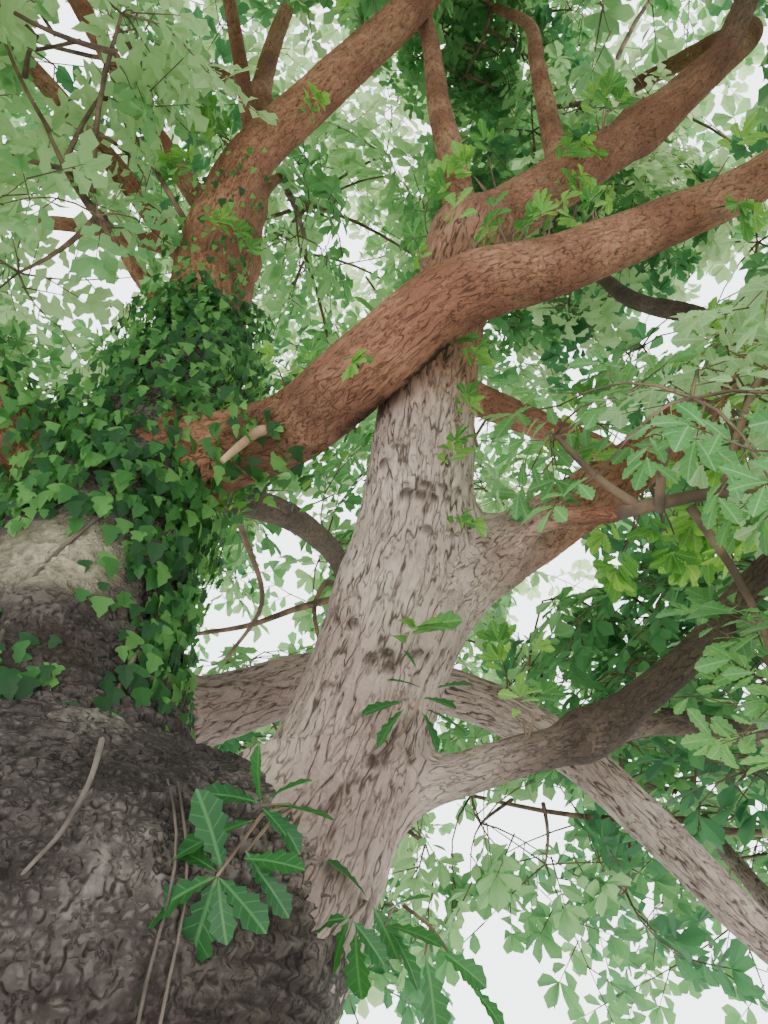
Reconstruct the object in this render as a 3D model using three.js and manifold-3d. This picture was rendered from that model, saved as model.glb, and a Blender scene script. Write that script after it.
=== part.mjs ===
// A broad old oak with a short bole that forks low, as separate solids: bole, stems, boughs and leafy masses.
// Millimetres, +Z up. The origin is the middle of the flat cut at ground level. The side towards -Y is the
// front, and +X is the side that the slimmer of the two stems leans to.
import * as THREE from 'three';
import { mergeVertices } from 'three/addons/utils/BufferGeometryUtils.js';
import Module from 'manifold-3d';

const wasm = await Module();
wasm.setup();

// Clearance between any two solids, and how far faces may shift when needless corners are dropped.
const GAP = 0.3;
const SLACK = 0.02;

// The bole, from the flat cut to its low fork.
const BOLE = {
  height: 2430,
  radius: 600,
  flare: 0.56,
  flareHeight: 330,
  buttresses: 5,
  buttressDepth: 0.2,
  buttressTurn: 0.6,
  lean: [90, 50],
  domeFrom: 1900,
  domeDepth: 0.98,
  tipRadius: 90,
  shoulder: 50,
  shoulderHeight: 2250,
  shoulderSpread: 480,
  sides: 20,
  rings: 11,
  ringBias: 1.15,
};

// How much wider a limb is where it leaves its parent, over how many of its own girths that fades, and the
// power of the taper beyond it.
const COLLAR = { swell: 0.38, girths: 0.75, taper: 0.8 };

// The crown, as tiers of leafy masses round the bole. Angles are in degrees from +X towards +Y.
const CROWN = {
  middle: [250, 150],
  outSpread: [0.94, 1.06],
  heightSpread: 500,
  seed: 40,
  innerSeed: 500,
  tiers: {
    skirt: { count: 9, first: -25, out: 5500, height: 4250, reach: [2400, 2050, 1700], spray: 1250 },
    shoulder: { count: 8, first: -12, out: 4750, height: 7350, reach: [2600, 2200, 2150], spray: 1350 },
    upper: { count: 5, first: -46, out: 2950, height: 10550, reach: [2600, 2350, 2150], spray: 1400 },
    top: { count: 1, first: 100, out: 150, height: 13150, reach: [2500, 2500, 1850], spray: 1350 },
  },
  inner: {
    inner_right: { at: [2350, 1500, 8000], reach: [1300, 1300, 1250], spray: 800 },
    inner_front: { at: [700, -1150, 9150], reach: [1300, 1300, 1250], spray: 800 },
    inner_high: { at: [1750, 250, 9850], reach: [1000, 1000, 1000], spray: 700 },
    near_right: { at: [2020, -470, 2990], reach: [750, 650, 700], spray: 400 },
    inner_left: { at: [-980, -80, 6050], reach: [1050, 1050, 1000], spray: 700 },
  },
};

// How a mass grows on from its bough's tip: a stem through its middle, twigs that turn round the stem, and
// one spray of leaves at the end of each, as far out as the mass reaches. Shares are of the stem's length,
// of the bough's girth at its tip, or of the mass's spray size. A twig is lengthened by steps of probe.
const GROWTH = {
  door: 0.72,
  nearestDoor: 0.75,
  overrun: 12,
  stemPast: 0.3,
  stemSides: 5,
  stemGirth: [0.42, 0.24],
  twigs: 7,
  firstTwig: 0.2,
  lastTwig: 0.9,
  goldenTurn: 137.5,
  looseTurn: 40,
  twigOpen: [88, 34],
  twigOnStem: 0.72,
  twigEndShare: 0.018,
  shortestTwig: 260,
  probe: 60,
  twigEnd: 0.36,
  twigEndSpread: [0.7, 1.6],
  twigFoot: 0.3,
  skyward: 0.35,
  sizes: [1, 0.82, 0.66, 0.5],
  apart: 0.62,
  clear: 30,
  limbStep: 120,
};

// A spray: five pointed leaves round a twig's end, joined to half way out, that droop like an open umbrella.
const SPRAY = {
  points: 5,
  notch: 0.56,
  droop: 0.3,
  notchDroop: 0.08,
  thick: 0.05,
  spread: 0.22,
  shortest: 0.45,
  shorten: 0.05,
  foothold: 0.24,
  widest: 1.3,
};

// Stems and boughs. A route starts inside the parent, passes the bends that show, and, where leads is given,
// ends at the door of that mass. Girth is the diameter at the start and at the end.
const STEMS = {
  left_stem: {
    route: [[-60, 70, 1900], [-170, 120, 2700], [-150, 220, 3700], [-70, 310, 4420], [-60, 325, 4800]],
    girth: [960, 400], sides: 14, rings: 8, collar: 0.15,
  },
  right_stem: {
    route: [[300, 60, 1700], [500, 45, 2000], [625, 40, 2170], [740, 20, 2440], [850, -30, 2770],
      [950, -120, 3210], [1000, -190, 3640], [1080, -230, 4120], [1210, -320, 4600]],
    girth: [470, 290], sides: 12, rings: 10, collar: 0.05,
  },
  left_leader: {
    route: [[-100, 300, 4250], [-110, 720, 5500], [-180, 950, 7500], [-260, 760, 9500], [-100, 500, 10800]],
    girth: [330, 130], sides: 8, rings: 8, leads: 'top_1',
  },
};

const SEEN_BOUGHS = {
  overhead_bough: {
    route: [[-60, 325, 4800 + GAP], [-110, 220, 5400], [70, -10, 5960], [530, -240, 6510],
      [1210, -560, 7500]],
    girth: [330, 170], leads: 'upper_1', collar: 0,
  },
  crossing_bough: {
    route: [[0, 130, 3700], [480, -60, 3690], [800, -430, 3610], [1060, -590, 3740], [1480, -500, 4100],
      [1960, -440, 4500], [2510, -460, 4900]],
    girth: [290, 130], leads: 'shoulder_1',
  },
  upper_bough: {
    route: [[1210 + GAP, -320, 4600 + GAP], [1690, -280, 5210], [2190, -270, 5800], [2720, -330, 6470],
      [3250, -250, 7400]],
    girth: [270, 120], leads: 'upper_2', collar: 0,
  },
  dark_arm: {
    route: [[2190, -270, 5800], [2520, -440, 6010], [2800, -760, 6420]],
    girth: [150, 90], leads: 'shoulder_8',
  },
  upright_bough: {
    route: [[1190, -300, 4480], [1185, -300, 5200], [1150, -290, 6100], [1130, -300, 7200]],
    girth: [160, 90], leads: 'inner_front',
  },
  far_upright_bough: {
    route: [[1700, -280, 5230], [1745, -250, 6000], [1800, -230, 6900], [1880, -150, 7800]],
    girth: [125, 75], leads: 'inner_high',
  },
  mid_bough: {
    route: [[920, -60, 2900], [1150, -60, 3060], [1460, 0, 3330], [1810, 50, 3650], [2190, 90, 4050],
      [2580, 150, 4430], [3000, 560, 5000]],
    girth: [232, 110], leads: 'shoulder_2',
  },
  near_bough: {
    route: [[1200, -50, 3090], [1330, -240, 3090]],
    girth: [80, 50], leads: 'near_right', collar: 0.2,
  },
  riser_bough: {
    route: [[2580, 150, 4430], [2470, 330, 4980], [2330, 660, 5660]],
    girth: [120, 80], leads: 'inner_right',
  },
  back_limb: {
    route: [[1000, -100, 4060], [1230, 210, 4220], [1590, 500, 4350], [2020, 860, 4520], [2350, 1900, 5150]],
    girth: [150, 105], leads: 'shoulder_3',
  },
  low_bough: {
    route: [[-100, 330, 2620], [320, 520, 2900], [610, 600, 3040], [1110, 790, 3100], [1530, 880, 2920],
      [1880, 1030, 2650], [2300, 1290, 2330], [2900, 2050, 2300]],
    girth: [275, 95], taper: 0.5, leads: 'skirt_3',
  },
  fork_limb: {
    route: [[780, 60, 2350], [1010, 20, 2400], [1220, 30, 2470], [1430, 80, 2560], [1780, 50, 2800],
      [2110, 10, 3110]],
    girth: [118, 75], leads: 'skirt_1',
  },
  fork_limb_low: {
    route: [[1430, 80, 2560], [1740, 290, 2710], [2150, 470, 2760]],
    girth: [90, 70], leads: 'skirt_2',
  },
  rear_bough: {
    route: [[-100, 300, 3800], [380, 1320, 4450], [570, 2700, 4950]],
    girth: [170, 100], leads: 'skirt_4',
  },
  front_left_bough: {
    route: [[-100, 190, 3600], [-660, -60, 3900], [-1020, -1250, 4250]],
    girth: [190, 95], leads: 'skirt_8',
  },
  front_right_bough: {
    route: [[2520, 140, 4380], [2900, -420, 4640], [3000, -1500, 4620]],
    girth: [110, 80], leads: 'skirt_9',
  },
  high_front_bough: {
    route: [[-130, 840, 6400], [-800, 250, 7250], [-1300, -900, 7600]],
    girth: [160, 90], leads: 'shoulder_7',
  },
  inner_left_bough: {
    route: [[-90, 400, 4900], [-390, 260, 5180]],
    girth: [120, 70], leads: 'inner_left',
  },
};

// Boughs that the stems hide, drawn by rule: each leaves its parent at a height of its own and arches out.
const RULED_BOUGHS = {
  skirt: { masses: [5, 6, 7], from: [2850, 3900], rise: 0.75, girth: [200, 95] },
  shoulder: { masses: [4, 5, 6], from: [5000, 6400], rise: 0.55, girth: [150, 85] },
  upper: { masses: [3, 4, 5], from: [7300, 9000], rise: 0.5, girth: [150, 85] },
};
const RULED_SHAPE = { knee: 0.5, arch: 0.05, sides: 6, rings: 5, axisSteps: 200 };

// Ivy on the left stem: one vine that winds up the bark, with leafy sprays lying along it.
const IVY = {
  seed: 77,
  axisSteps: 300,
  foot: 2620,
  head: 4640,
  facing: -88,
  sway: 25,
  swayFrom: 3430,
  swayLength: 1340,
  stand: 36,
  rootIn: 60,
  vine: 26,
  steps: 18,
  sprays: 13,
  spray: 300,
  sizes: [0.8, 1.15],
  spacing: [0.9, 1.8],
  twig: 9,
  twigStand: 130,
  twigTurn: [22, 62],
  twigRise: 140,
};

const BARK_GREY = new THREE.MeshStandardMaterial({ color: 0x8d8273, roughness: 0.95 });
const BARK_RED = new THREE.MeshStandardMaterial({ color: 0x7c5a48, roughness: 0.95 });
const LEAF_GREEN = new THREE.MeshStandardMaterial({ color: 0x5f8f3a, roughness: 0.6 });
const IVY_GREEN = new THREE.MeshStandardMaterial({ color: 0x2f5d33, roughness: 0.5 });

const radians = THREE.MathUtils.degToRad;
const vector = (p) => new THREE.Vector3(...p);
const mix = THREE.MathUtils.lerp;

/** Numbers from 0 to 1 that are the same on every run. */
function seeded(seed) {
  let state = seed;
  return () => {
    state = (state * 1664525 + 1013904223) % 4294967296;
    return state / 4294967296;
  };
}

/** A closed three.js geometry as a solid for cutting and joining. */
function solidOf(geometry) {
  const bare = new THREE.BufferGeometry();
  bare.setAttribute('position', geometry.getAttribute('position'));
  bare.setIndex(geometry.getIndex());
  const merged = mergeVertices(bare, 1e-2);
  return new wasm.Manifold(
    new wasm.Mesh({
      numProp: 3,
      vertProperties: merged.getAttribute('position').array,
      triVerts: new Uint32Array(merged.getIndex().array),
    }),
  );
}

/** The largest body of a solid, as a named mesh. */
function meshOf(name, solid, material) {
  const [body] = solid.asOriginal().simplify(SLACK).decompose().sort((a, b) => b.volume() - a.volume());
  const { vertProperties, triVerts } = body.getMesh();
  const geometry = new THREE.BufferGeometry();
  geometry.setAttribute('position', new THREE.BufferAttribute(vertProperties, 3));
  geometry.setIndex(new THREE.BufferAttribute(triVerts, 1));
  geometry.computeVertexNormals();
  const mesh = new THREE.Mesh(geometry, material);
  mesh.name = name;
  return mesh;
}

/** The bole's radius at a height, looking out at an angle from +X. */
function boleRadius(height, angle) {
  const flare = BOLE.flare * Math.exp(-height / BOLE.flareHeight);
  const buttress = 1 + BOLE.buttressDepth * Math.cos(BOLE.buttresses * angle + BOLE.buttressTurn);
  const off = (height - BOLE.shoulderHeight) / BOLE.shoulderSpread;
  const shoulder = BOLE.shoulder * Math.exp(-off * off) * Math.max(0, Math.cos(angle));
  const dome = Math.max(0, (height - BOLE.domeFrom) / (BOLE.height - BOLE.domeFrom));
  const full = BOLE.radius * (1 + flare * buttress) + shoulder;
  return mix(full, BOLE.tipRadius, 1 - Math.sqrt(1 - BOLE.domeDepth * dome * dome));
}

/** The bole: level sections on a leaning line, flared at the foot and domed under the fork. */
function boleGeometry(clearance = 0) {
  const shape = new THREE.CylinderGeometry(1, 1, 1, BOLE.sides, BOLE.rings);
  const place = shape.getAttribute('position');
  for (let i = 0; i < place.count; i += 1) {
    const up = place.getY(i) + 0.5;
    const height = BOLE.height * Math.pow(up, BOLE.ringBias);
    const angle = Math.atan2(-place.getZ(i), place.getX(i));
    const onRim = Math.hypot(place.getX(i), place.getZ(i));
    const radius = onRim * (boleRadius(height, angle) + clearance / Math.cos(Math.PI / BOLE.sides));
    place.setXYZ(
      i,
      BOLE.lean[0] * up + radius * Math.cos(angle),
      BOLE.lean[1] * up + radius * Math.sin(angle),
      height + (up === 1 ? clearance : 0),
    );
  }
  return shape;
}

/** The smooth line that a limb follows. */
const lineOf = (route) => new THREE.CatmullRomCurve3(route.map(vector));

/** A limb's radius at a share of its length. */
function limbRadius({ girth, collar = COLLAR.swell, taper = COLLAR.taper }, share, length) {
  const swell = 1 + collar * Math.exp((-share * length) / (COLLAR.girths * girth[0]));
  return (mix(girth[0], girth[1], Math.pow(share, taper)) / 2) * swell;
}

/** One tapering round limb along its route, with flat ends. */
function limbGeometry(limb, clearance = 0) {
  const { route, sides = 8, rings = 9 } = limb;
  const line = lineOf(route);
  const length = line.getLength();
  const { tangents, normals } = line.computeFrenetFrames(rings);
  const shape = new THREE.CylinderGeometry(1, 1, 1, sides, rings);
  const place = shape.getAttribute('position');
  for (let i = 0; i < place.count; i += 1) {
    const share = place.getY(i) + 0.5;
    const ring = Math.round(share * rings);
    const side = new THREE.Vector3().crossVectors(normals[ring], tangents[ring]);
    const radius = limbRadius(limb, share, length) + clearance / Math.cos(Math.PI / sides);
    const end = ring === 0 ? -clearance : ring === rings ? clearance : 0;
    const at = line
      .getPointAt(share)
      .addScaledVector(normals[ring], place.getX(i) * radius)
      .addScaledVector(side, place.getZ(i) * radius)
      .addScaledVector(tangents[ring], end);
    place.setXYZ(i, at.x, at.y, at.z);
  }
  return shape;
}

/** A straight twig of few sides that tapers from one point to another. */
function twigGeometry(from, to, thick, thin, sides) {
  const shape = new THREE.CylinderGeometry(thin, thick, from.distanceTo(to), sides, 1);
  shape.applyQuaternion(
    new THREE.Quaternion().setFromUnitVectors(new THREE.Vector3(0, 1, 0), to.clone().sub(from).normalize()),
  );
  shape.translate(...from.clone().lerp(to, 0.5).toArray());
  return shape;
}

/** A spray's outline round its middle: the tip of each leaf and the notch after it, in turn. */
function rimOf({ centre, facing, level, lengths }) {
  const count = lengths.length;
  const at = (turn, length, droop) =>
    centre.clone()
      .addScaledVector(level.clone().applyAxisAngle(facing, turn), length)
      .addScaledVector(facing, -droop * length);
  return lengths.flatMap((length, k) => {
    const notch = (SPRAY.notch * (length + lengths[(k + 1) % count])) / 2;
    const step = (2 * Math.PI) / count;
    return [at(step * k, length, SPRAY.droop), at(step * (k + 0.5), notch, SPRAY.notchDroop)];
  });
}

/** The point where a spray sits on its twig: in one of its faces, a little way out from its middle. */
function footholdOf(spray) {
  const [tip, notch] = rimOf(spray);
  const towardsNotch = spray.centre.clone().lerp(notch, SPRAY.foothold);
  return spray.centre.clone().lerp(tip, 0.5 * SPRAY.foothold).lerp(towardsNotch, 0.5);
}

/** A spray as a thin closed shell between its rim and two points at its middle. */
function sprayGeometry(spray) {
  const rim = rimOf(spray);
  const half = (SPRAY.thick * spray.size) / 2;
  const upper = spray.centre.clone().addScaledVector(spray.facing, half);
  const lower = spray.centre.clone().addScaledVector(spray.facing, -half);
  const shape = new THREE.BufferGeometry().setFromPoints([...rim, upper, lower]);
  const last = rim.length;
  shape.setIndex(rim.flatMap((_, k) => {
    const next = (k + 1) % last;
    return [k, next, last, next, k, last + 1];
  }));
  return shape;
}

/** Every mass of the crown: its name, middle, own axes and reach along them. */
function crownPlan() {
  const masses = {};
  const [middleX, middleY] = CROWN.middle;
  Object.entries(CROWN.tiers).forEach(([tier, plan], row) => {
    const random = seeded(CROWN.seed + row);
    for (let i = 0; i < plan.count; i += 1) {
      const turn = radians(plan.first + (360 / plan.count) * i);
      const out = plan.out * mix(...CROWN.outSpread, random());
      const centre = new THREE.Vector3(
        middleX + out * Math.cos(turn),
        middleY + out * Math.sin(turn),
        plan.height + CROWN.heightSpread * (random() - 0.5),
      );
      const seed = 100 * row + i + 7;
      masses[`${tier}_${i + 1}`] = { centre, turn, reach: plan.reach, spray: plan.spray, seed };
    }
  });
  Object.entries(CROWN.inner).forEach(([name, { at, reach, spray }], i) => {
    masses[name] = { centre: vector(at), turn: 0, reach, spray, seed: CROWN.innerSeed + i };
  });
  return masses;
}

/** How far out a point lies in a mass, as a share of the mass's reach in that direction. */
function depthIn({ centre, turn, reach }, point) {
  const off = point.clone().sub(centre);
  const outward = off.x * Math.cos(turn) + off.y * Math.sin(turn);
  const sideways = off.y * Math.cos(turn) - off.x * Math.sin(turn);
  return Math.hypot(outward / reach[0], sideways / reach[1], off.z / reach[2]);
}

/** True where a point is in the mass's space: in its reach, and on its side of every neighbour's plane. */
function owns(mass, point, masses) {
  if (depthIn(mass, point) > 1) return false;
  return Object.values(masses).every((other) => {
    if (other === mass) return true;
    const between = other.centre.clone().sub(mass.centre);
    const mine = mass.reach[1] / (mass.reach[1] + other.reach[1]);
    const plane = mass.centre.clone().addScaledVector(between, mine);
    return plane.sub(point).dot(between.normalize()) > GROWTH.clear;
  });
}

/** Points down the middle of every limb, with the radius there, so that twigs can keep off them. */
function limbPoints(limbs) {
  return Object.values(limbs).flatMap((limb) => {
    const line = lineOf(limb.route);
    const length = line.getLength();
    const steps = Math.ceil(length / GROWTH.limbStep);
    return [...Array(steps + 1).keys()].map((k) => ({
      at: line.getPointAt(k / steps),
      radius: limbRadius(limb, k / steps, length) + GROWTH.clear,
    }));
  });
}

/** True where a straight stretch between two points stays clear of the limbs. */
function twigClear(points, from, to, margin) {
  const stretch = new THREE.Line3(from, to);
  const nearest = new THREE.Vector3();
  return points.every(({ at, radius }) => {
    stretch.closestPointToPoint(at, true, nearest);
    return nearest.distanceTo(at) > radius + margin;
  });
}

/** True where a spray stays clear of the limbs. */
function sprayClear(points, spray) {
  const rim = rimOf(spray);
  const nearest = new THREE.Vector3();
  const faces = rim.map((corner, k) => new THREE.Triangle(spray.centre, corner, rim[(k + 1) % rim.length]));
  return points.every(({ at, radius }) => {
    if (at.distanceTo(spray.centre) > radius + SPRAY.widest * spray.size) return true;
    const margin = radius + SPRAY.thick * spray.size;
    return faces.every((face) => face.closestPointToPoint(at, nearest).distanceTo(at) > margin);
  });
}

/** True where a solid meets none of the grown limbs. */
function touchesNone(grown, geometry) {
  const solid = solidOf(geometry);
  const { min, max } = solid.boundingBox();
  return grown.every((limb) => {
    const box = limb.boundingBox();
    const apart = [0, 1, 2].some((axis) => box.min[axis] > max[axis] || box.max[axis] < min[axis]);
    return apart || solid.intersect(limb).isEmpty();
  });
}

/** The point where a bough hands over to its mass, on the way in from the bough's last bend. */
function doorOf(mass, lastBend) {
  const inward = mass.centre.clone().sub(lastBend);
  const far = inward.length();
  inward.normalize();
  const reachThere = 1 / depthIn(mass, mass.centre.clone().add(inward));
  const back = Math.min(GROWTH.door * reachThere, GROWTH.nearestDoor * far);
  return mass.centre.clone().addScaledVector(inward, -back);
}

/** A bough's route carried on to the door of the mass that it leads to. */
function routeTo(masses, { route, leads }) {
  const door = doorOf(masses[leads], vector(route[route.length - 1]));
  return [...route, door.toArray()];
}

/** The boughs that are drawn by rule, from the left stem and its leader to the masses of each tier. */
function ruledBoughs(masses) {
  const boughs = {};
  const { knee: kneeShare, arch, sides, rings, axisSteps } = RULED_SHAPE;
  const stemAndLeader = [...STEMS.left_stem.route, ...STEMS.left_leader.route.slice(1)];
  const axis = lineOf(stemAndLeader).getSpacedPoints(axisSteps);
  Object.entries(RULED_BOUGHS).forEach(([tier, { masses: chosen, from, rise, girth }]) => {
    chosen.forEach((number, i) => {
      const mass = masses[`${tier}_${number}`];
      const height = mix(...from, ((2 * i) % chosen.length) / (chosen.length - 1));
      const start = axis.reduce((a, b) => (Math.abs(b.z - height) < Math.abs(a.z - height) ? b : a));
      const door = doorOf(mass, new THREE.Vector3(start.x, start.y, mix(height, mass.centre.z, rise)));
      const knee = start.clone().lerp(door, kneeShare);
      knee.z = mix(height, door.z, rise) + arch * start.distanceTo(door);
      boughs[`${tier}_bough_${number}`] = {
        route: [start.toArray(), knee.toArray(), door.toArray()],
        girth,
        sides,
        rings,
        leads: `${tier}_${number}`,
      };
    });
  });
  return boughs;
}

/** The spray at the end of a twig, each leaf as long as the mass's space lets it be; null where none fits. */
function sprayAt(mass, masses, limbs, { from, to }, kept, random) {
  const axis = to.clone().sub(from).normalize();
  const facing = axis.clone().add(new THREE.Vector3(0, 0, GROWTH.skyward)).normalize();
  const level = new THREE.Vector3().crossVectors(facing, new THREE.Vector3(0.2, 0.9, 0.1)).normalize();
  level.applyAxisAngle(facing, 2 * Math.PI * random());
  const lengths = [...Array(SPRAY.points)].map(() => mass.spray * (1 + SPRAY.spread * (2 * random() - 1)));
  if (kept.some((other) => other.centre.distanceTo(to) < GROWTH.apart * mass.spray)) return null;
  for (const share of GROWTH.sizes) {
    const size = mass.spray * share;
    const spray = { centre: to, facing, level, size, lengths: lengths.map((length) => length * share) };
    for (let k = 0; k < SPRAY.points; k += 1) {
      while (spray.lengths[k] > SPRAY.shortest * size && !owns(mass, rimOf(spray)[2 * k], masses)) {
        spray.lengths[k] -= SPRAY.shorten * size;
      }
    }
    if (rimOf(spray).every((p) => owns(mass, p, masses)) && sprayClear(limbs, spray)) return spray;
  }
  return null;
}

/** The twigs and sprays of one mass, from the stem that meets its bough's tip. */
function grow(name, masses, bough, limbs, grown) {
  const mass = masses[name];
  const random = seeded(mass.seed);
  const line = lineOf(bough.route);
  const foot = line.getPointAt(1).addScaledVector(line.getTangentAt(1), -GROWTH.overrun);
  const tip = mass.centre.clone().lerp(foot, -GROWTH.stemPast);
  const stem = tip.clone().sub(foot);
  const forward = stem.clone().normalize();
  const level = new THREE.Vector3().crossVectors(forward, new THREE.Vector3(0.1, 0.2, 1)).normalize();
  const girth = bough.girth[1];
  const twigs = [{ from: foot, to: tip, thick: GROWTH.stemGirth[0] * girth }];
  for (let i = 0; i < GROWTH.twigs; i += 1) {
    const share = mix(GROWTH.firstTwig, GROWTH.lastTwig, i / (GROWTH.twigs - 1));
    const open = radians(mix(GROWTH.twigOpen[0], GROWTH.twigOpen[1], share));
    const turn = radians(GROWTH.goldenTurn * i + GROWTH.looseTurn * random());
    const out = level.clone().applyAxisAngle(forward, turn);
    const along = forward.clone().multiplyScalar(Math.cos(open)).addScaledVector(out, Math.sin(open));
    const from = foot.clone().addScaledVector(stem, share);
    let length = GROWTH.shortestTwig;
    while (owns(mass, from.clone().addScaledVector(along, length), masses)) length += GROWTH.probe;
    const back = mass.spray * GROWTH.twigEnd * mix(...GROWTH.twigEndSpread, random());
    length = Math.max(GROWTH.shortestTwig, length - back);
    const to = from.clone().addScaledVector(along, length);
    const thick = mix(GROWTH.stemGirth[0], GROWTH.stemGirth[1], share) * GROWTH.twigOnStem * girth;
    const free = from.clone().lerp(to, GROWTH.twigFoot);
    if (twigClear(limbs, free, to, thick)) twigs.push({ from, to, thick });
  }
  const sprays = [];
  const wood = [];
  twigs.forEach(({ from, to, thick }, i) => {
    const spray = sprayAt(mass, masses, limbs, { from, to }, sprays, random);
    if (i && !spray) return;
    const end = spray ? footholdOf(spray) : to;
    const stemEnd = GROWTH.stemGirth[1] * girth;
    const twigEnd = Math.min(stemEnd, GROWTH.twigEndShare * (spray ? spray.size : mass.spray));
    const twig = twigGeometry(from, end, thick, i ? twigEnd : stemEnd, i ? 3 : GROWTH.stemSides);
    if (i && !touchesNone(grown, twig)) return;
    wood.push(twig);
    if (spray && touchesNone(grown, sprayGeometry(spray))) sprays.push(spray);
  });
  return [...wood, ...sprays.map(sprayGeometry)];
}

/** The ivy: a vine that sways up a stem's front just off its bark, and sprays on short twigs round it. */
function growIvy(stem, limbs) {
  const line = lineOf(stem.route);
  const length = line.getLength();
  const axis = line.getSpacedPoints(IVY.axisSteps);
  const random = seeded(IVY.seed);
  const onBark = (height, turn, stand) => {
    const k = axis.findIndex((p) => p.z >= height);
    const out = new THREE.Vector3(Math.cos(radians(turn)), Math.sin(radians(turn)), 0);
    const radius = limbRadius(stem, k / IVY.axisSteps, length);
    return { at: axis[k].clone().addScaledVector(out, radius + stand), out };
  };
  const swayAt = (height) =>
    IVY.facing - IVY.sway * Math.cos((2 * Math.PI * (height - IVY.swayFrom)) / IVY.swayLength);
  const vine = [...Array(IVY.steps + 1).keys()].map((i) => {
    const height = mix(IVY.foot, IVY.head, i / IVY.steps);
    return onBark(height, swayAt(height), i ? IVY.stand : -IVY.rootIn).at.toArray();
  });
  const pieces = [
    limbGeometry({ route: vine, girth: [2 * IVY.vine, IVY.vine], sides: 3, rings: IVY.steps, collar: 0 }),
  ];
  for (let i = 0; i < IVY.sprays; i += 1) {
    const height = mix(IVY.foot, IVY.head, (i + IVY.spacing[0]) / (IVY.sprays - 1 + IVY.spacing[1]));
    const from = onBark(height, swayAt(height), IVY.stand).at;
    const turn = mix(...IVY.twigTurn, random()) * (i % 2 ? 1 : -1);
    const leafHeight = height + IVY.twigRise * random();
    const { at: centre, out } = onBark(leafHeight, swayAt(height) + turn, IVY.twigStand);
    const level = new THREE.Vector3(0, 0, 1).applyAxisAngle(out, 2 * Math.PI * random());
    const lengths = [...Array(SPRAY.points)].map(() => IVY.spray * mix(...IVY.sizes, random()));
    const spray = { centre, facing: out, level, size: IVY.spray, lengths };
    const end = footholdOf(spray);
    if (!sprayClear(limbs, spray) || !twigClear(limbs, from, end, IVY.twig)) continue;
    pieces.push(sprayGeometry(spray), twigGeometry(from, end, IVY.twig, 0.8 * IVY.twig, 3));
  }
  return pieces;
}

/** Joins closed geometries into one solid. */
const joined = (geometries) => wasm.Manifold.union(geometries.map(solidOf));

const masses = crownPlan();
const limbs = { ...STEMS };
Object.entries(SEEN_BOUGHS).forEach(([name, bough]) => {
  limbs[name] = { ...bough, route: routeTo(masses, bough), sides: 7, rings: bough.route.length + 3 };
});
Object.assign(limbs, ruledBoughs(masses));
limbs.left_leader = { ...limbs.left_leader, route: routeTo(masses, limbs.left_leader) };

const oak = new THREE.Group();
oak.add(meshOf('bole', solidOf(boleGeometry()), BARK_GREY));
const taken = [solidOf(boleGeometry(GAP))];
Object.entries(limbs).forEach(([name, limb]) => {
  const whole = solidOf(limbGeometry(limb));
  const free = taken.reduce((left, grown) => left.subtract(grown), whole);
  oak.add(meshOf(name, free, name === 'left_stem' || name === 'right_stem' ? BARK_GREY : BARK_RED));
  taken.push(solidOf(limbGeometry(limb, GAP)));
});

const keepOff = limbPoints(limbs);
Object.entries(limbs).forEach(([, bough]) => {
  if (!bough.leads) return;
  const tips = solidOf(limbGeometry(bough, GAP));
  const solid = joined(grow(bough.leads, masses, bough, keepOff, taken)).subtract(tips);
  oak.add(meshOf(`leaves_${bough.leads}`, solid, LEAF_GREEN));
});

const { left_stem: ivyStem, ...others } = limbs;
const climber = joined(growIvy(ivyStem, limbPoints(others)));
const ivy = taken.reduce((left, grown) => left.subtract(grown), climber);
oak.add(meshOf('ivy', ivy, IVY_GREEN));

export default oak;
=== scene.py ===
"""An old oak in summer leaf: bark, boughs, twigs, leaves and ivy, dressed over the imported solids."""

import logging
import math
from dataclasses import dataclass, field
from enum import Enum
from typing import Any, Iterable, Iterator, Sequence

import bpy
import numpy as np
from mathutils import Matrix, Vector


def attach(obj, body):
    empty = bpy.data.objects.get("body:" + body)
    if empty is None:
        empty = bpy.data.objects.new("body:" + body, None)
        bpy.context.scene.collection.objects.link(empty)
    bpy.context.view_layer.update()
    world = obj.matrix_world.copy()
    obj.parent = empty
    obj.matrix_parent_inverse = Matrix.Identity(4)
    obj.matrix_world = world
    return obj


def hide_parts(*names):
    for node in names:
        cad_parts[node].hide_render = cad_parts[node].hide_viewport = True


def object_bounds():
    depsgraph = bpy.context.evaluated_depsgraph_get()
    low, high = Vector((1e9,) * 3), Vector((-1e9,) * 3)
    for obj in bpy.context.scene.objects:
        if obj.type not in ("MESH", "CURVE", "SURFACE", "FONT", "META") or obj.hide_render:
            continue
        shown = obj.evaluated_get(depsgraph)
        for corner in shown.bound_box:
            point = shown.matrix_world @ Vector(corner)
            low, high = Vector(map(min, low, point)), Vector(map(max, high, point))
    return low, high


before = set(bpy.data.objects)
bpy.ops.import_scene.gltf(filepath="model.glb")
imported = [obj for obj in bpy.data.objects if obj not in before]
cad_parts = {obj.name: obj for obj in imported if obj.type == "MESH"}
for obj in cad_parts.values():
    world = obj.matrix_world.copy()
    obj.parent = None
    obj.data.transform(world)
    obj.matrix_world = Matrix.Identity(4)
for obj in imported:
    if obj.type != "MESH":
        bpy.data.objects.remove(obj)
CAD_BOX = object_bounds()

logging.basicConfig(level=logging.INFO, format="%(message)s")
log = logging.getLogger("oak")

Array = np.ndarray
Mesh = bpy.types.Mesh
Material = bpy.types.Material
Pair = tuple[float, float]
Place = tuple[float, float, float]
Line = tuple[Array, Array]
Row = tuple[Array, Array, Array, float]
UP = np.array([0.0, 0.0, 1.0])
FULL_TURN = 2 * math.pi


# Small helpers for numbers, directions and colours.


def mix(a: Any, b: Any, share: Any) -> Any:
    """The value a share of the way from a to b."""
    return a + (b - a) * share


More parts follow.
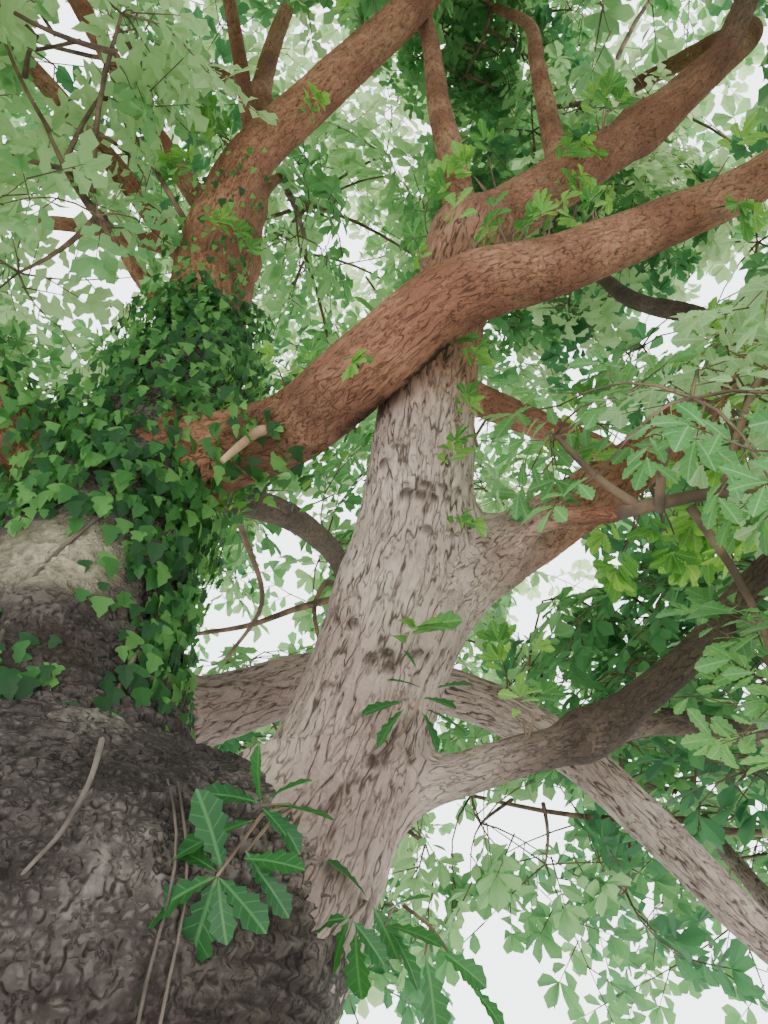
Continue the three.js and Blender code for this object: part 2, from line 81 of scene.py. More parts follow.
def rise(x: float, low: float, over: float) -> float:
    """0 below low, then an even rise to 1 over a stretch."""
    return min(1.0, max(0.0, (x - low) / over))


def smooth(low: float, high: float, x: Array) -> Array:
    """0 below low, 1 above high, and a smooth step between."""
    t = np.clip((x - low) / (high - low), 0, 1)
    return t * t * (3 - 2 * t)


def unit(v: Sequence[float] | Array) -> Array:
    """The direction of a vector, or of each row of vectors."""
    v = np.asarray(v, float)
    return v / np.maximum(np.linalg.norm(v, axis=-1, keepdims=True), 1e-12)


def turned(v: Array, axis: Array, angle: float) -> Array:
    """A vector turned about a unit axis by an angle in radians."""
    c, s = math.cos(angle), math.sin(angle)
    return v * c + np.cross(axis, v) * s + axis * (axis @ v) * (1 - c)


def tipped(points: Array, first: int, second: int, degrees: float) -> Array:
    """Rows of points turned from one axis, by its number, towards another."""
    angle = math.radians(degrees)
    turn = np.eye(3)
    turn[first, first] = turn[second, second] = math.cos(angle)
    turn[first, second] = math.sin(angle)
    turn[second, first] = -math.sin(angle)
    return points @ turn


def off_stretch(points: Array, start: Array, end: Array) -> tuple[Array, Array]:
    """How points lie beside a straight stretch.

    Args:
        points: the points, as rows.
        start: where the stretch starts.
        end: where it ends.

    Returns:
        For each point, its share of the way along the stretch and its distance from it.
    """
    way = end - start
    share = np.clip((points - start) @ way / (way @ way), 0, 1)
    return share, np.linalg.norm(points - (start + share[:, None] * way), axis=1)


def paint(code: str) -> tuple[float, float, float, float]:
    """A screen colour such as "8d8273" as the linear colour that a shader takes."""
    parts = [int(code[i : i + 2], 16) / 255 for i in (0, 2, 4)]
    linear = [c / 12.92 if c <= 0.04045 else ((c + 0.055) / 1.055) ** 2.4 for c in parts]
    return (*linear, 1.0)


class Seeded:
    """Numbers from 0 to 1 that are the same on every run."""

    def __init__(self, seed: int) -> None:
        """Starts the row of numbers at a seed."""
        self.state = seed

    def __call__(self) -> float:
        """The next number."""
        self.state = (self.state * 1664525 + 1013904223) % 4294967296
        return self.state / 4294967296

    def jog(self) -> Array:
        """A vector of up to a half either way along each axis."""
        return np.array([self() - 0.5, self() - 0.5, self() - 0.5])


# Node trees, for materials and for shapes alike.


class Wire:
    """The output of a node, which sums like a number or a vector."""

    def __init__(self, graph: "Graph", socket: bpy.types.NodeSocket) -> None:
        """Keeps the socket and the tree that it is in."""
        self.graph = graph
        self.socket = socket

    def _sum(self, operation: str, other: Any, swapped: bool = False) -> "Wire":
        """A Math or Vector Math node.

        Args:
            operation: what the node does.
            other: the other value.
            swapped: whether the other value comes first.

        Returns:
            The node's result.
        """
        flat = self.socket.type in ("VECTOR", "RGBA")
        if flat and operation == "MULTIPLY" and not isinstance(other, (Wire, tuple)):
            return self.graph.scaled(self, other)
        a, b = (other, self) if swapped else (self, other)
        kind = "ShaderNodeVectorMath" if flat else "ShaderNodeMath"
        return self.graph.node(kind, {"operation": operation}, {0: a, 1: b})

    def __add__(self, other: Any) -> "Wire":
        """Sum."""
        return self._sum("ADD", other)

    def __radd__(self, other: Any) -> "Wire":
        """Sum, the other way round."""
        return self._sum("ADD", other, True)

    def __sub__(self, other: Any) -> "Wire":
        """Difference."""
        return self._sum("SUBTRACT", other)

    def __rsub__(self, other: Any) -> "Wire":
        """Difference, the other way round."""
        return self._sum("SUBTRACT", other, True)

    def __mul__(self, other: Any) -> "Wire":
        """Product."""
        return self._sum("MULTIPLY", other)

    def __rmul__(self, other: Any) -> "Wire":
        """Product, the other way round."""
        return self._sum("MULTIPLY", other, True)

    def size(self) -> "Wire":
        """The value without its sign."""
        return self._sum("ABSOLUTE", 0.0)

    def or_more(self, other: Any) -> "Wire":
        """The greater of this value and another."""
        return self._sum("MAXIMUM", other)

    def step(self, low: float, high: float, start: float = 0.0, end: float = 1.0) -> "Wire":
        """A smooth step from start at low to end at high."""
        return self.graph.node(
            "ShaderNodeMapRange",
            {"interpolation_type": "SMOOTHSTEP"},
            {"Value": self, "From Min": low, "From Max": high, "To Min": start, "To Max": end},
        )

    def blend(self, low: Any, high: Any) -> "Wire":
        """A colour between two colours, by this wire."""
        share, first, second, mixed = 0, 6, 7, 2
        sockets = {share: self, first: low, second: high}
        return self.graph.node("ShaderNodeMix", {"data_type": "RGBA"}, sockets, mixed)


class Graph:
    """A node tree under construction."""

    def __init__(self, tree: bpy.types.NodeTree) -> None:
        """Empties the tree."""
        self.tree = tree
        tree.nodes.clear()

    def node(
        self,
        kind: str,
        settings: dict[str, Any] | None = None,
        sockets: dict[int | str, Any] | None = None,
        output: int | str = 0,
    ) -> Wire:
        """Adds a node.

        Args:
            kind: the node's type.
            settings: its properties.
            sockets: values or wires for its inputs, by name or number. None leaves an input as it is.
            output: the output to return.

        Returns:
            The chosen output as a wire.
        """
        made = self.tree.nodes.new(kind)
        for key, value in (settings or {}).items():
            setattr(made, key, value)
        for key, value in (sockets or {}).items():
            for one in value if isinstance(value, list) else [value]:
                if isinstance(one, Wire):
                    self.tree.links.new(one.socket, made.inputs[key])
                elif one is not None:
                    made.inputs[key].default_value = one
        return Wire(self, made.outputs[output] if len(made.outputs) else made.inputs[0])

    def scaled(self, vector: Wire, scale: Any) -> Wire:
        """A vector times a number."""
        return self.node("ShaderNodeVectorMath", {"operation": "SCALE"}, {0: vector, "Scale": scale})

    def noise(self, where: Wire, scale: float, detail: float = 2.0, output: int = 0) -> Wire:
        """A Noise Texture's value, or its colour where output is 1."""
        sockets = {"Vector": where, "Scale": scale, "Detail": detail}
        return self.node("ShaderNodeTexNoise", {}, sockets, output)

    def stirred(self, place: Wire, grain: Wire, scale: float, detail: float, amount: float) -> Wire:
        """Places moved about by coloured noise.

        Args:
            place: the places.
            grain: where the noise is read.
            scale: the noise's scale.
            detail: its detail.
            amount: how far it moves them.

        Returns:
            The moved places.
        """
        return place + (self.noise(grain, scale, detail, 1) - (0.5, 0.5, 0.5)) * amount

    def mark(self, name: str, output: str = "Fac") -> Wire:
        """A mark that the mesh carries, in a material."""
        return self.node("ShaderNodeAttribute", {"attribute_name": name}, {}, output)

    def attribute(self, name: str, kind: str = "FLOAT") -> Wire:
        """A mark that the mesh carries, in a shape tree."""
        return self.node("GeometryNodeInputNamedAttribute", {"data_type": kind}, {"Name": name})

    def bump(self, height: Wire, strength: float, distance: float) -> Wire:
        """A Bump node."""
        sockets = {"Strength": strength, "Distance": distance, "Height": height}
        return self.node("ShaderNodeBump", {}, sockets)

    def face(self, colour: Any, rough: float, bump: Wire | None = None, shine: float | None = None) -> Wire:
        """A Principled BSDF."""
        sockets = {"Base Color": colour, "Roughness": rough, "Normal": bump, "Specular IOR Level": shine}
        return self.node("ShaderNodeBsdfPrincipled", {}, sockets)

    def surface(self, shader: Wire) -> None:
        """Ends a material."""
        self.node("ShaderNodeOutputMaterial", {}, {"Surface": shader})


def new_material(name: str) -> tuple[Material, Graph]:
    """A material and its empty tree."""
    material = bpy.data.materials.new(name)
    material.use_nodes = True
    return material, Graph(material.node_tree)


class ShapeTree(Graph):
    """A Geometry Nodes tree with named inputs, which ends in Realize Instances and Set Material."""

    def __init__(self, name: str, sizes: dict[str, float | int]) -> None:
        """Starts the tree.

        Args:
            name: the tree's name.
            sizes: the first value of each named input besides the shape and the material.
        """
        super().__init__(bpy.data.node_groups.new(name, "GeometryNodeTree"))
        sockets = self.tree.interface
        sockets.new_socket(name="Shape", in_out="OUTPUT", socket_type="NodeSocketGeometry")
        kinds = {"Shape": "NodeSocketGeometry"}
        for label, value in sizes.items():
            kinds[label] = "NodeSocketInt" if isinstance(value, int) else "NodeSocketFloat"
        kinds["Material"] = "NodeSocketMaterial"
        self.names: dict[str, str] = {}
        for label, kind in kinds.items():
            socket = sockets.new_socket(name=label, in_out="INPUT", socket_type=kind)
            if label in sizes:
                socket.default_value = sizes[label]
            self.names[label] = socket.identifier
        source = self.tree.nodes.new("NodeGroupInput")
        self.wires = {label: Wire(self, source.outputs[label]) for label in kinds}

    def finish(self, shape: Wire) -> None:
        """Ends the tree in Realize Instances and Set Material."""
        real = self.node("GeometryNodeRealizeInstances", {}, {0: shape})
        sockets = {"Geometry": real, "Material": self.wires["Material"]}
        dressed = self.node("GeometryNodeSetMaterial", {}, sockets)
        end = self.tree.nodes.new("NodeGroupOutput")
        self.tree.links.new(dressed.socket, end.inputs[0])

    def bake(self, name: str, mesh: Mesh, material: Material, sizes: dict[str, Any] | None = None) -> Mesh:
        """Runs the tree on a mesh and gives the result as a plain mesh.

        Args:
            name: the result's name.
            mesh: the mesh that the tree starts from.
            material: what the result is made of.
            sizes: values of the named inputs, by name.

        Returns:
            The result.
        """
        thing = plain_object(f"{name}_plain", mesh)
        modifier = thing.modifiers.new("shape", "NODES")
        modifier.node_group = self.tree
        for label, value in {**(sizes or {}), "Material": material}.items():
            modifier[self.names[label]] = value
        graph = bpy.context.evaluated_depsgraph_get()
        graph.update()
        made = bpy.data.meshes.new_from_object(thing.evaluated_get(graph))
        bpy.data.objects.remove(thing)
        made.name = name
        return made


def plain_object(name: str, data: Any) -> bpy.types.Object:
    """An object at the origin in the scene, from a mesh, a light or a camera."""
    thing = bpy.data.objects.new(name, data)
    bpy.context.scene.collection.objects.link(thing)
    return thing


def mesh_of(
    name: str,
    points: Array,
    faces: Array | Sequence[Sequence[int]],
    edges: Sequence[Sequence[int]] = (),
    marks: dict[str, Array] | None = None,
) -> Mesh:
    """A mesh from arrays, with its vertex attributes.

    Args:
        name: the mesh's name.
        points: vertex places.
        faces: vertex numbers of each face.
        edges: vertex numbers of loose edges.
        marks: attribute values by name, one number or one vector for each vertex.

    Returns:
        The mesh.
    """
    mesh = bpy.data.meshes.new(name)
    mesh.from_pydata(np.asarray(points).tolist(), list(edges), np.asarray(faces).tolist())
    for label, values in (marks or {}).items():
        whole, flat = values.dtype.kind == "i", values.ndim == 1
        kind = "INT" if whole else "FLOAT" if flat else "FLOAT_VECTOR"
        data = mesh.attributes.new(label, kind, "POINT").data
        kept = values if whole else values.astype(np.float32)
        data.foreach_set("value" if flat else "vector", kept.ravel())
    mesh.update()
    return mesh


def show(name: str, mesh: Mesh, slot: str, nodes: Iterable[str]) -> None:
    """Puts a finished mesh in the scene as a piece that stands for CAD nodes.

    Args:
        name: the piece's name.
        mesh: its mesh.
        slot: its material slot; not used.
        nodes: the CAD nodes that it stands for.
    """
    piece = plain_object(name, mesh)
    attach(piece, "root")
    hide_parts(*nodes)
    log.info("%s: %d triangles", name, sum(len(p.vertices) - 2 for p in mesh.polygons))


# Finishes.


@dataclass(frozen=True)
class Bark:
    """A bark: its plates and furrows, the folds across the limb, and its colours. Lengths are in metres."""

    name: str
    plate: Pair
    light: str
    dark: str
    crack: str
    second_light: str
    second_dark: str
    furrow: float = 0.004
    width: float = 0.045
    fold: float = 0.0
    folds: Pair = (0.3, 0.05)
    swirl: float = 0.1
    wander: float = 1.7
    algae: str = "6f7358"
    algae_share: float = 0.35
    furrow_shade: float = 0.6
    fine: float = 0.006
    crumb: float = 0.0
    pale_mark: str = "d3c2a8"
    # Colour of the dark marks: the knots' own colour, and painted shade in creases, hollows and under boughs.
    knot_and_shade_mark: str = "261c17"

    def pattern(self, graph: Graph, grain: Wire) -> tuple[Wire, Wire]:
        """The bark's relief at a place on the limb, the same in a shape tree and in a material.

        Args:
            graph: the tree to build in.
            grain: the place, in metres round the limb and along it.

        Returns:
            How far out of a furrow it is, and the height of the fold.
        """
        wide, long = self.plate
        place = graph.stirred(grain, grain, 6.0, 3.0, wide * self.wander)
        furrow = graph.noise(place * (0.55 / wide, 0.55 / wide, 0.55 / long), 1.0, 2.5) - 0.5
        short = graph.noise(place * (1.1 / wide, 1.1 / wide, 1.4 / long), 1.0, 2.0) - 0.47
        broken = graph.noise(place, 1.6 / long, 2.0).step(0.36, 0.6, 0.2, 1.0)
        deep = furrow.size().step(0.0, self.width, 1.0, 0.0) * broken
        shallow = short.size().step(0.0, self.width * 1.1, 0.75, 0.0) * (1.25 - broken)
        cracks = deep.or_more(shallow)
        if self.crumb:
            cracks = cracks.or_more(self._crumbs(graph, grain, place))
        across, along = self.folds
        swirled = graph.stirred(place, grain, 2.4, 2.0, self.swirl)
        roll = graph.noise(swirled * (1 / across, 1 / across, 1 / along), 1.0, 2.0) - 0.5
        calm = graph.noise(grain, 2.1, 1.0).step(0.4, 0.56, 0.0, 0.7)
        fold = roll.size().step(0.0, 0.12)
        return 1.0 - cracks, fold + (1.0 - fold) * calm

    def _crumbs(self, graph: Graph, grain: Wire, place: Wire) -> Wire:
        """The short cracks round the crumbs of coarse bark.

        Args:
            graph: the tree to build in.
            grain: the place on the limb.
            place: the same place, stirred.

        Returns:
            How deep in a crack it is.
        """
        bent = graph.stirred(place, grain, 26.0, 3.0, self.crumb * 1.1)
        spread = bent * (1 / self.crumb, 1 / self.crumb, 1.3 / self.crumb)
        sockets = {"Vector": spread, "Scale": 1.0}
        edge = graph.node("ShaderNodeTexVoronoi", {"feature": "DISTANCE_TO_EDGE"}, sockets)
        return edge.step(0.0, 0.3, 0.75, 0.0) * graph.noise(place, 9.0, 2.0).step(0.38, 0.6, 0.1, 1.0)

    def colours(self, graph: Graph, grain: Wire, plate: Wire, fold: Wire) -> tuple[Wire, Wire]:
        """The bark's colour and its fine height.

        Args:
            graph: the material's tree.
            grain: the place on the limb.
            plate: how far out of a furrow it is.
            fold: the height of the fold.

        Returns:
            The colour, and the height for the bump.
        """
        tone = graph.mark("tone")
        speck = graph.noise(grain, 110.0, 3.0)
        scale = graph.noise(grain * (1.0, 1.0, 0.4), 45.0, 3.0)
        light = tone.blend(paint(self.light), paint(self.second_light))
        dark = tone.blend(paint(self.dark), paint(self.second_dark))
        colour = graph.noise(grain, 2.6, 5.0).step(0.35, 0.65).blend(dark, light)
        colour = speck.step(0.4, 0.7, 0.0, 0.3).blend(colour, light)
        colour = scale.step(0.38, 0.62, 0.5, 0.0).blend(colour, dark)
        mossy = graph.noise(grain, 1.3, 5.0).step(0.5, 0.72) * self.algae_share
        colour = mossy.blend(colour, paint(self.algae))
        # Painted shade over the darker bark of the cracks: the crack colour fills the furrows, as far as the
        # relief sinks them, and the low ground between the folds.
        colour = ((1.0 - plate) * self.furrow_shade).blend(colour, paint(self.crack))
        if self.fold:
            colour = ((1.0 - fold) * 0.6).blend(colour, paint(self.crack))
        return colour, plate + scale * 0.3 + speck * 0.15

    def material(self) -> Material:
        """The bark as a material that reads the mesh's own marks."""
        material, graph = new_material(self.name)
        grain = graph.mark("grain", "Vector")
        plate, fold = self.pattern(graph, grain)
        colour, height = self.colours(graph, grain, plate, fold)
        pale = graph.mark("pale") * graph.noise(grain, 30.0, 3.0).step(0.35, 0.6, 0.5, 1.0)
        colour = pale.blend(colour, paint(self.pale_mark))
        # The dark mark colours the knots and paints shade in creases, hollows and under the boughs.
        colour = graph.mark("dark").blend(colour, paint(self.knot_and_shade_mark))
        graph.surface(graph.face(colour, 0.92, graph.bump(height, 0.8, self.fine), 0.2))
        return material

    def relief(self) -> ShapeTree:
        """The shape tree that raises the bark's plates and folds on a smooth limb."""
        tree = ShapeTree(f"{self.name}_relief", {"Furrow Depth": self.furrow, "Fold Height": self.fold})
        depth, height = tree.wires["Furrow Depth"], tree.wires["Fold Height"]
        grain = tree.attribute("grain", "FLOAT_VECTOR")
        plate, fold = self.pattern(tree, grain)
        lumps = tree.noise(grain, 5.0, 3.0) - 0.5
        # Lumps under the dark marks, at the knots and under the painted shade alike.
        lumps_at_dark_marks = (tree.noise(grain, 70.0, 2.0) - 0.3) * tree.attribute("dark") * 0.03
        out = (plate - 0.8) * depth + (fold - 0.6) * height
        out = (out + lumps * (height * 0.9 + 0.012)) * tree.attribute("ease") + lumps_at_dark_marks
        offset = tree.scaled(tree.node("GeometryNodeInputNormal"), out)
        sockets = {"Geometry": tree.wires["Shape"], "Offset": offset}
        tree.finish(tree.node("GeometryNodeSetPosition", {}, sockets))
        return tree


GREY = ("b39f94", "86716a")
RED = ("a3755d", "754c3c")
DARK = ("6b5a4e", "41352e", "1f1815")
GREY_BARK = Bark(
    "grey_bark", (0.02, 0.1), *GREY, "352822", *RED, furrow=0.008, width=0.05, furrow_shade=0.9, wander=1.2
)
COARSE_BARK = Bark(
    "coarse_bark", (0.024, 0.034), "6f6460", "3a3230", "14100e", *GREY,
    furrow=0.009, width=0.07, fold=0.024, folds=(0.24, 0.042), furrow_shade=0.9, fine=0.01, wander=1.4,
    crumb=0.026, algae_share=0.25,
)
RED_BARK = Bark("red_bark", (0.015, 0.045), *RED, "38241c", *GREY, algae_share=0.15, furrow_shade=0.75)
DARK_BARK = Bark("dark_bark", (0.014, 0.05), *DARK, *GREY, furrow=0.002, algae_share=0.3)
ARM_BARK = Bark("arm_bark", (0.014, 0.05), *DARK, *RED, furrow=0.003, algae_share=0.2)


@dataclass(frozen=True)
class LeafTint:
    """A plain leaf finish: its face, and the light that comes through it."""

    name: str
    face: str
    glow: str
    rough: float = 0.5
    shine: float = 0.35
    through: float = 0.5

    def look(self, graph: Graph) -> tuple[Any, Wire | None]:
        """The colour of the face and its bump, of which a plain leaf has none."""
        return paint(self.face), None

    def material(self) -> Material:
        """The finish as a material."""
        material, graph = new_material(self.name)
        colour, bump = self.look(graph)
        face = graph.face(colour, self.rough, bump, self.shine)
        glow = graph.node("ShaderNodeBsdfTranslucent", {}, {"Color": paint(self.glow)})
        graph.surface(graph.node("ShaderNodeMixShader", {}, {0: self.through, 1: face, 2: glow}))
        return material


@dataclass(frozen=True)
class VeinedLeaf(LeafTint):
    """A leaf finish for leaves close by, with paler ribs on a green face."""

    rib: str = "86ad7a"
    rough: float = 0.42
    shine: float = 0.4
    through: float = 0.45
    slant: float = 0.75
    ribs: float = 6.0

    def look(self, graph: Graph) -> tuple[Any, Wire | None]:
        """The ribs' and the face's colour and the ribs' bump, by each leaf's own place along and across."""
        along = graph.node("ShaderNodeSeparateXYZ", {}, {0: graph.mark("leaf", "Vector")})
        across = Wire(graph, along.socket.node.outputs[1]).size()
        midrib = across.step(0.012, 0.03, 1.0, 0.0)
        rows = (along - across * self.slant) * self.ribs
        rows = graph.node("ShaderNodeMath", {"operation": "PINGPONG"}, {0: rows, 1: 0.5})
        vein = midrib.or_more(rows.step(0.03, 0.1, 0.6, 0.0))
        return vein.blend(paint(self.face), paint(self.rib)), graph.bump(vein, 0.4, 0.002)


class Tint(Enum):
    """The leaf colours of the crown, from deep to pale. The paler ones are partly painted sunlight, dealt
    more to high sprays and to some near masses.
    """

    DEEP = LeafTint("leaf_deep_green", "315c42", "5f9860")
    MID = LeafTint("leaf_mid_green", "43784e", "7fb36c")
    FRESH = LeafTint("leaf_fresh_green", "659964", "a8cd88")
    LIME = LeafTint("leaf_lime_green", "8fb67c", "d2e7ac")


IVY_TINTS = {
    "old": LeafTint("old_ivy_green", "264b2a", "47793a"),
    "grown": LeafTint("grown_ivy_green", "396a37", "639c44"),
    "young": LeafTint("young_ivy_green", "5c8d4c", "8fbf58"),
}
NEAR_FINISHES = {
    "lobed": VeinedLeaf("near_leaf", "3f7d48", "93c36c", rib="86ad7a"),
    # Painted sunlight: the pale near leaves stand for the lit ones high at the side.
    "pale": VeinedLeaf("pale_near_leaf", "83b576", "d6ebb6", rib="c2dbab"),
}
SHOOT_FINISHES = {
    "deep": VeinedLeaf("deep_shoot", "38733a", "7bb346", rib="769f63"),
    "bright": VeinedLeaf("bright_shoot", "5a9444", "abd656", rib="98bb74"),
}
SHADED_LEAF = VeinedLeaf("shaded_leaf", "1f4f2b", "478433", rib="4f7c4c")


@dataclass(frozen=True)
class SmoothWood:
    """The smooth bark of twigs and vines, and bare dry wood."""

    name: str
    light: str
    dark: str

    def material(self) -> Material:
        """The wood as a material on object coordinates."""
        material, graph = new_material(self.name)
        place = graph.node("ShaderNodeTexCoord", {}, {}, "Object")
        colour = graph.noise(place, 9.0, 4.0).step(0.35, 0.65).blend(paint(self.dark), paint(self.light))
        graph.surface(graph.face(colour, 0.85, graph.bump(graph.noise(place, 60.0, 3.0), 0.5, 0.004)))
        return material


TWIG_BARK = SmoothWood("twig_bark", "7c6452", "4d3b31")
VINE_BARK = SmoothWood("vine_bark", "65574f", "3f3530")
GREY_WOOD = SmoothWood("dead_grey_wood", "695d58", "443a36")
PALE_WOOD = SmoothWood("torn_pale_wood", "cdbda6", "9c8264")
STUB_WOOD = SmoothWood("stub_wood", "b08c70", "7c5b46")


# The tree's plan, by the rules that the solids follow. Lengths are in metres from here on.


class Route:
    """A smooth line through points, measured along its length."""

    def __init__(self, points: Sequence[Sequence[float]]) -> None:
        """Samples the line once, so that places are found by length."""
        self.points = np.asarray(points, float)
        self.shares = np.linspace(0, 1, 201)
        line = self._curve(self.shares)
        self.lengths = np.concatenate([[0], np.cumsum(np.linalg.norm(np.diff(line, axis=0), axis=1))])
        self.length = float(self.lengths[-1])

    def _curve(self, t: Array) -> Array:
        """Points of the centripetal curve.

        Args:
            t: shares of its points.

        Returns:
            The points, as rows.
        """
        p = self.points
        ends = np.vstack([2 * p[0] - p[1], p, 2 * p[-1] - p[-2]])
        spans = len(p) - 1
        at = np.clip(t, 0, 1) * spans
        i = np.minimum(at.astype(int), spans - 1)
        w = (at - i)[:, None]
        a, b, c, d = ends[i], ends[i + 1], ends[i + 2], ends[i + 3]
        ab, bc, cd = (np.sqrt(np.linalg.norm(q - r, axis=1))[:, None] for q, r in ((b, a), (c, b), (d, c)))
        m = ((b - a) / ab - (c - a) / (ab + bc) + (c - b) / bc) * bc
        n = ((c - b) / bc - (d - b) / (bc + cd) + (d - c) / cd) * bc
        return b + m * w + (-3 * b + 3 * c - 2 * m - n) * w**2 + (2 * b - 2 * c + m + n) * w**3

    def _shares(self, share: float | Array) -> Array:
        """Shares of the points at shares of the length."""
        return np.atleast_1d(np.interp(np.asarray(share, float) * self.length, self.lengths, self.shares))

    def at(self, share: float | Array) -> Array:
        """The point, or points, at a share of the length."""
        points = self._curve(self._shares(share))
        return points if np.ndim(share) else points[0]

    def heading(self, share: float | Array) -> Array:
        """The direction at a share of the length."""
        t = self._shares(share)
        ahead = unit(self._curve(t + 1e-4) - self._curve(t - 1e-4))
        return ahead if np.ndim(share) else ahead[0]


@dataclass
class Limb:
    """One tapering limb: its route, girths, parents and bark. A cell is the size of its mesh's squares."""

    route: Sequence[Sequence[float]]
    girth: Pair
    parents: tuple[str, ...] = ()
    leads: str | None = None
    collar: float = 0.38
    taper: float = 0.8
    bark: Bark = RED_BARK
    cell: float = 0.03
    name: str = ""

    def line(self) -> Route:
        """The line down the middle of the limb."""
        return Route(self.route)

    def radius(self, share: float | Array, length: float) -> Any:
        """The radius at a share of the length."""
        swell = 1 + self.collar * np.exp(-np.asarray(share) * length / (0.75 * self.girth[0]))
        return mix(self.girth[0], self.girth[1], np.power(share, self.taper)) / 2 * swell

    def grid(self) -> tuple[Array, Array, Array]:
        """The limb's surface as rings with round ends.

        Returns:
            The surface's points, their ways out, and their places in the grain.
        """
        line = self.line()
        step = self.cell * 1.3
        rings = max(8, int(line.length / step))
        sides = max(10, int(math.pi * (self.girth[0] + self.girth[1]) / 2 / self.cell))
        share = np.linspace(0, 1, rings + 1)
        centre, ahead = line.at(share), line.heading(share)
        side = np.zeros_like(ahead)
        side[0] = unit(np.cross(ahead[0], [0.3, 0.1, -1.0] if abs(ahead[0][2]) < 0.9 else [0, 1, 0]))
        for i in range(1, len(side)):
            side[i] = unit(side[i - 1] - ahead[i] * (side[i - 1] @ ahead[i]))
        radius = self.radius(share, line.length)
        rows = [(i, 0.0) for i in range(rings + 1)]
        for at, sign in ((0, -1), (rings, 1)):
            steps = max(3, int(1.6 * radius[at] / step))
            cap = [(at, sign * math.radians(89) * (k + 1) / steps) for k in range(steps)]
            rows = cap[::-1] + rows if sign < 0 else rows + cap
        pick = np.array([i for i, _ in rows])
        tilt = np.array([t for _, t in rows])
        centre, ahead, side, radius = centre[pick], ahead[pick], side[pick], radius[pick]
        other = np.cross(ahead, side)
        angle = np.linspace(0, FULL_TURN, sides, endpoint=False)
        out = np.cos(angle)[None, :, None] * side[:, None] + np.sin(angle)[None, :, None] * other[:, None]
        out = out * np.cos(tilt)[:, None, None] + ahead[:, None] * np.sin(tilt)[:, None, None]
        shift = sum(map(ord, self.name)) % 17
        middle = (self.girth[0] + self.girth[1]) / 4
        reach = (radius * np.cos(tilt) + middle)[:, None] / 2
        along = (share[pick] * line.length + radius * np.sin(tilt))[:, None]
        along = np.broadcast_to(along, (len(rows), sides))
        grain = np.stack([reach * np.cos(angle) + shift, reach * np.sin(angle), along], -1)
        return centre[:, None] + out * radius[:, None, None], out, grain


class Stations:
    """Even stations along a limb, to find the one nearest a height or a point."""

    def __init__(self, limb: Limb, count: int) -> None:
        """Samples the limb's line."""
        self.limb = limb
        self.line = limb.line()
        self.shares = np.linspace(0, 1, count)
        self.axis = self.line.at(self.shares)

    def at_height(self, height: float) -> tuple[Array, float]:
        """The limb's middle and radius nearest a height."""
        k = int(np.argmin(np.abs(self.axis[:, 2] - height)))
        return self.axis[k], self._radius(k)

    def near(self, point: Sequence[float]) -> tuple[Array, float, Array]:
        """The limb's middle, radius and direction nearest a point."""
        k = int(np.argmin(np.linalg.norm(self.axis - np.array(point), axis=1)))
        return self.axis[k], self._radius(k), self.line.heading(self.shares[k])

    def _radius(self, k: int) -> float:
        """The limb's radius at a station."""
        return float(self.limb.radius(self.shares[k], self.line.length))


@dataclass
class Mass:
    """One mass of leaves: its middle, its turn round the bole, its reach outward, sideways and up."""

    name: str
    centre: Array
    turn: float
    reach: Place
    spray: float
    seed: int
    wall: float = 0.03
    planes: Array | None = None
    limits: Array | None = None

    def depth(self, point: Array) -> float:
        """How far out a point lies, as a share of the reach that way."""
        off = point - self.centre
        c, s = math.cos(self.turn), math.sin(self.turn)
        own = (off[0] * c + off[1] * s, off[1] * c - off[0] * s, off[2])
        outward, sideways, up = ((part / reach) ** 2 for part, reach in zip(own, self.reach))
        return math.sqrt(outward + sideways + up)

    def bound(self, masses: dict[str, "Mass"]) -> None:
        """Sets the planes between this mass and its neighbours."""
        planes, limits = [], []
        for other in masses.values():
            if other is not self:
                between = other.centre - self.centre
                mine = self.reach[1] / (self.reach[1] + other.reach[1])
                way = unit(between)
                planes.append(way)
                limits.append(way @ (self.centre + between * mine) - self.wall)
        self.planes, self.limits = np.array(planes), np.array(limits)

    def owns(self, point: Array) -> bool:
        """True where a point is in the mass's own space."""
        return self.depth(point) <= 1 and bool(np.all(self.planes @ point < self.limits))


@dataclass
class Spray:
    """One umbrella of leaves at a twig's end."""

    centre: Array
    facing: Array
    level: Array
    size: float
    lengths: list[float]
    mass: str
    tint: Tint = Tint.MID
    droop: float = 0.3
    notch: float = 0.56
    notch_droop: float = 0.08
    step: float = 0.05

    def ray(self, turn: float, length: float, droop: float) -> Array:
        """A point of the spray, by its turn about the middle, its distance and its droop."""
        return self.centre + turned(self.level, self.facing, turn) * length - self.facing * droop * length

    def rim(self) -> Array:
        """The tips and notches round the spray."""
        turn = FULL_TURN / len(self.lengths)
        corners = []
        for k, length in enumerate(self.lengths):
            notch = self.notch * (length + self.lengths[(k + 1) % len(self.lengths)]) / 2
            tip = self.ray(turn * k, length, self.droop)
            corners += [tip, self.ray(turn * (k + 0.5), notch, self.notch_droop)]
        return np.array(corners)

    def draw_in(self, mass: Mass, least: float) -> None:
        """Shortens the tips that leave a mass's space, down to a share of the spray's size."""
        for k in range(len(self.lengths)):
            while self.lengths[k] > least * self.size and not mass.owns(self.rim()[2 * k]):
                self.lengths[k] -= self.step * self.size


@dataclass
class Twig:
    """One twig of a mass, with its girth at each end."""

    start: Array
    end: Array
    thick: float
    thin: float
    mass: str


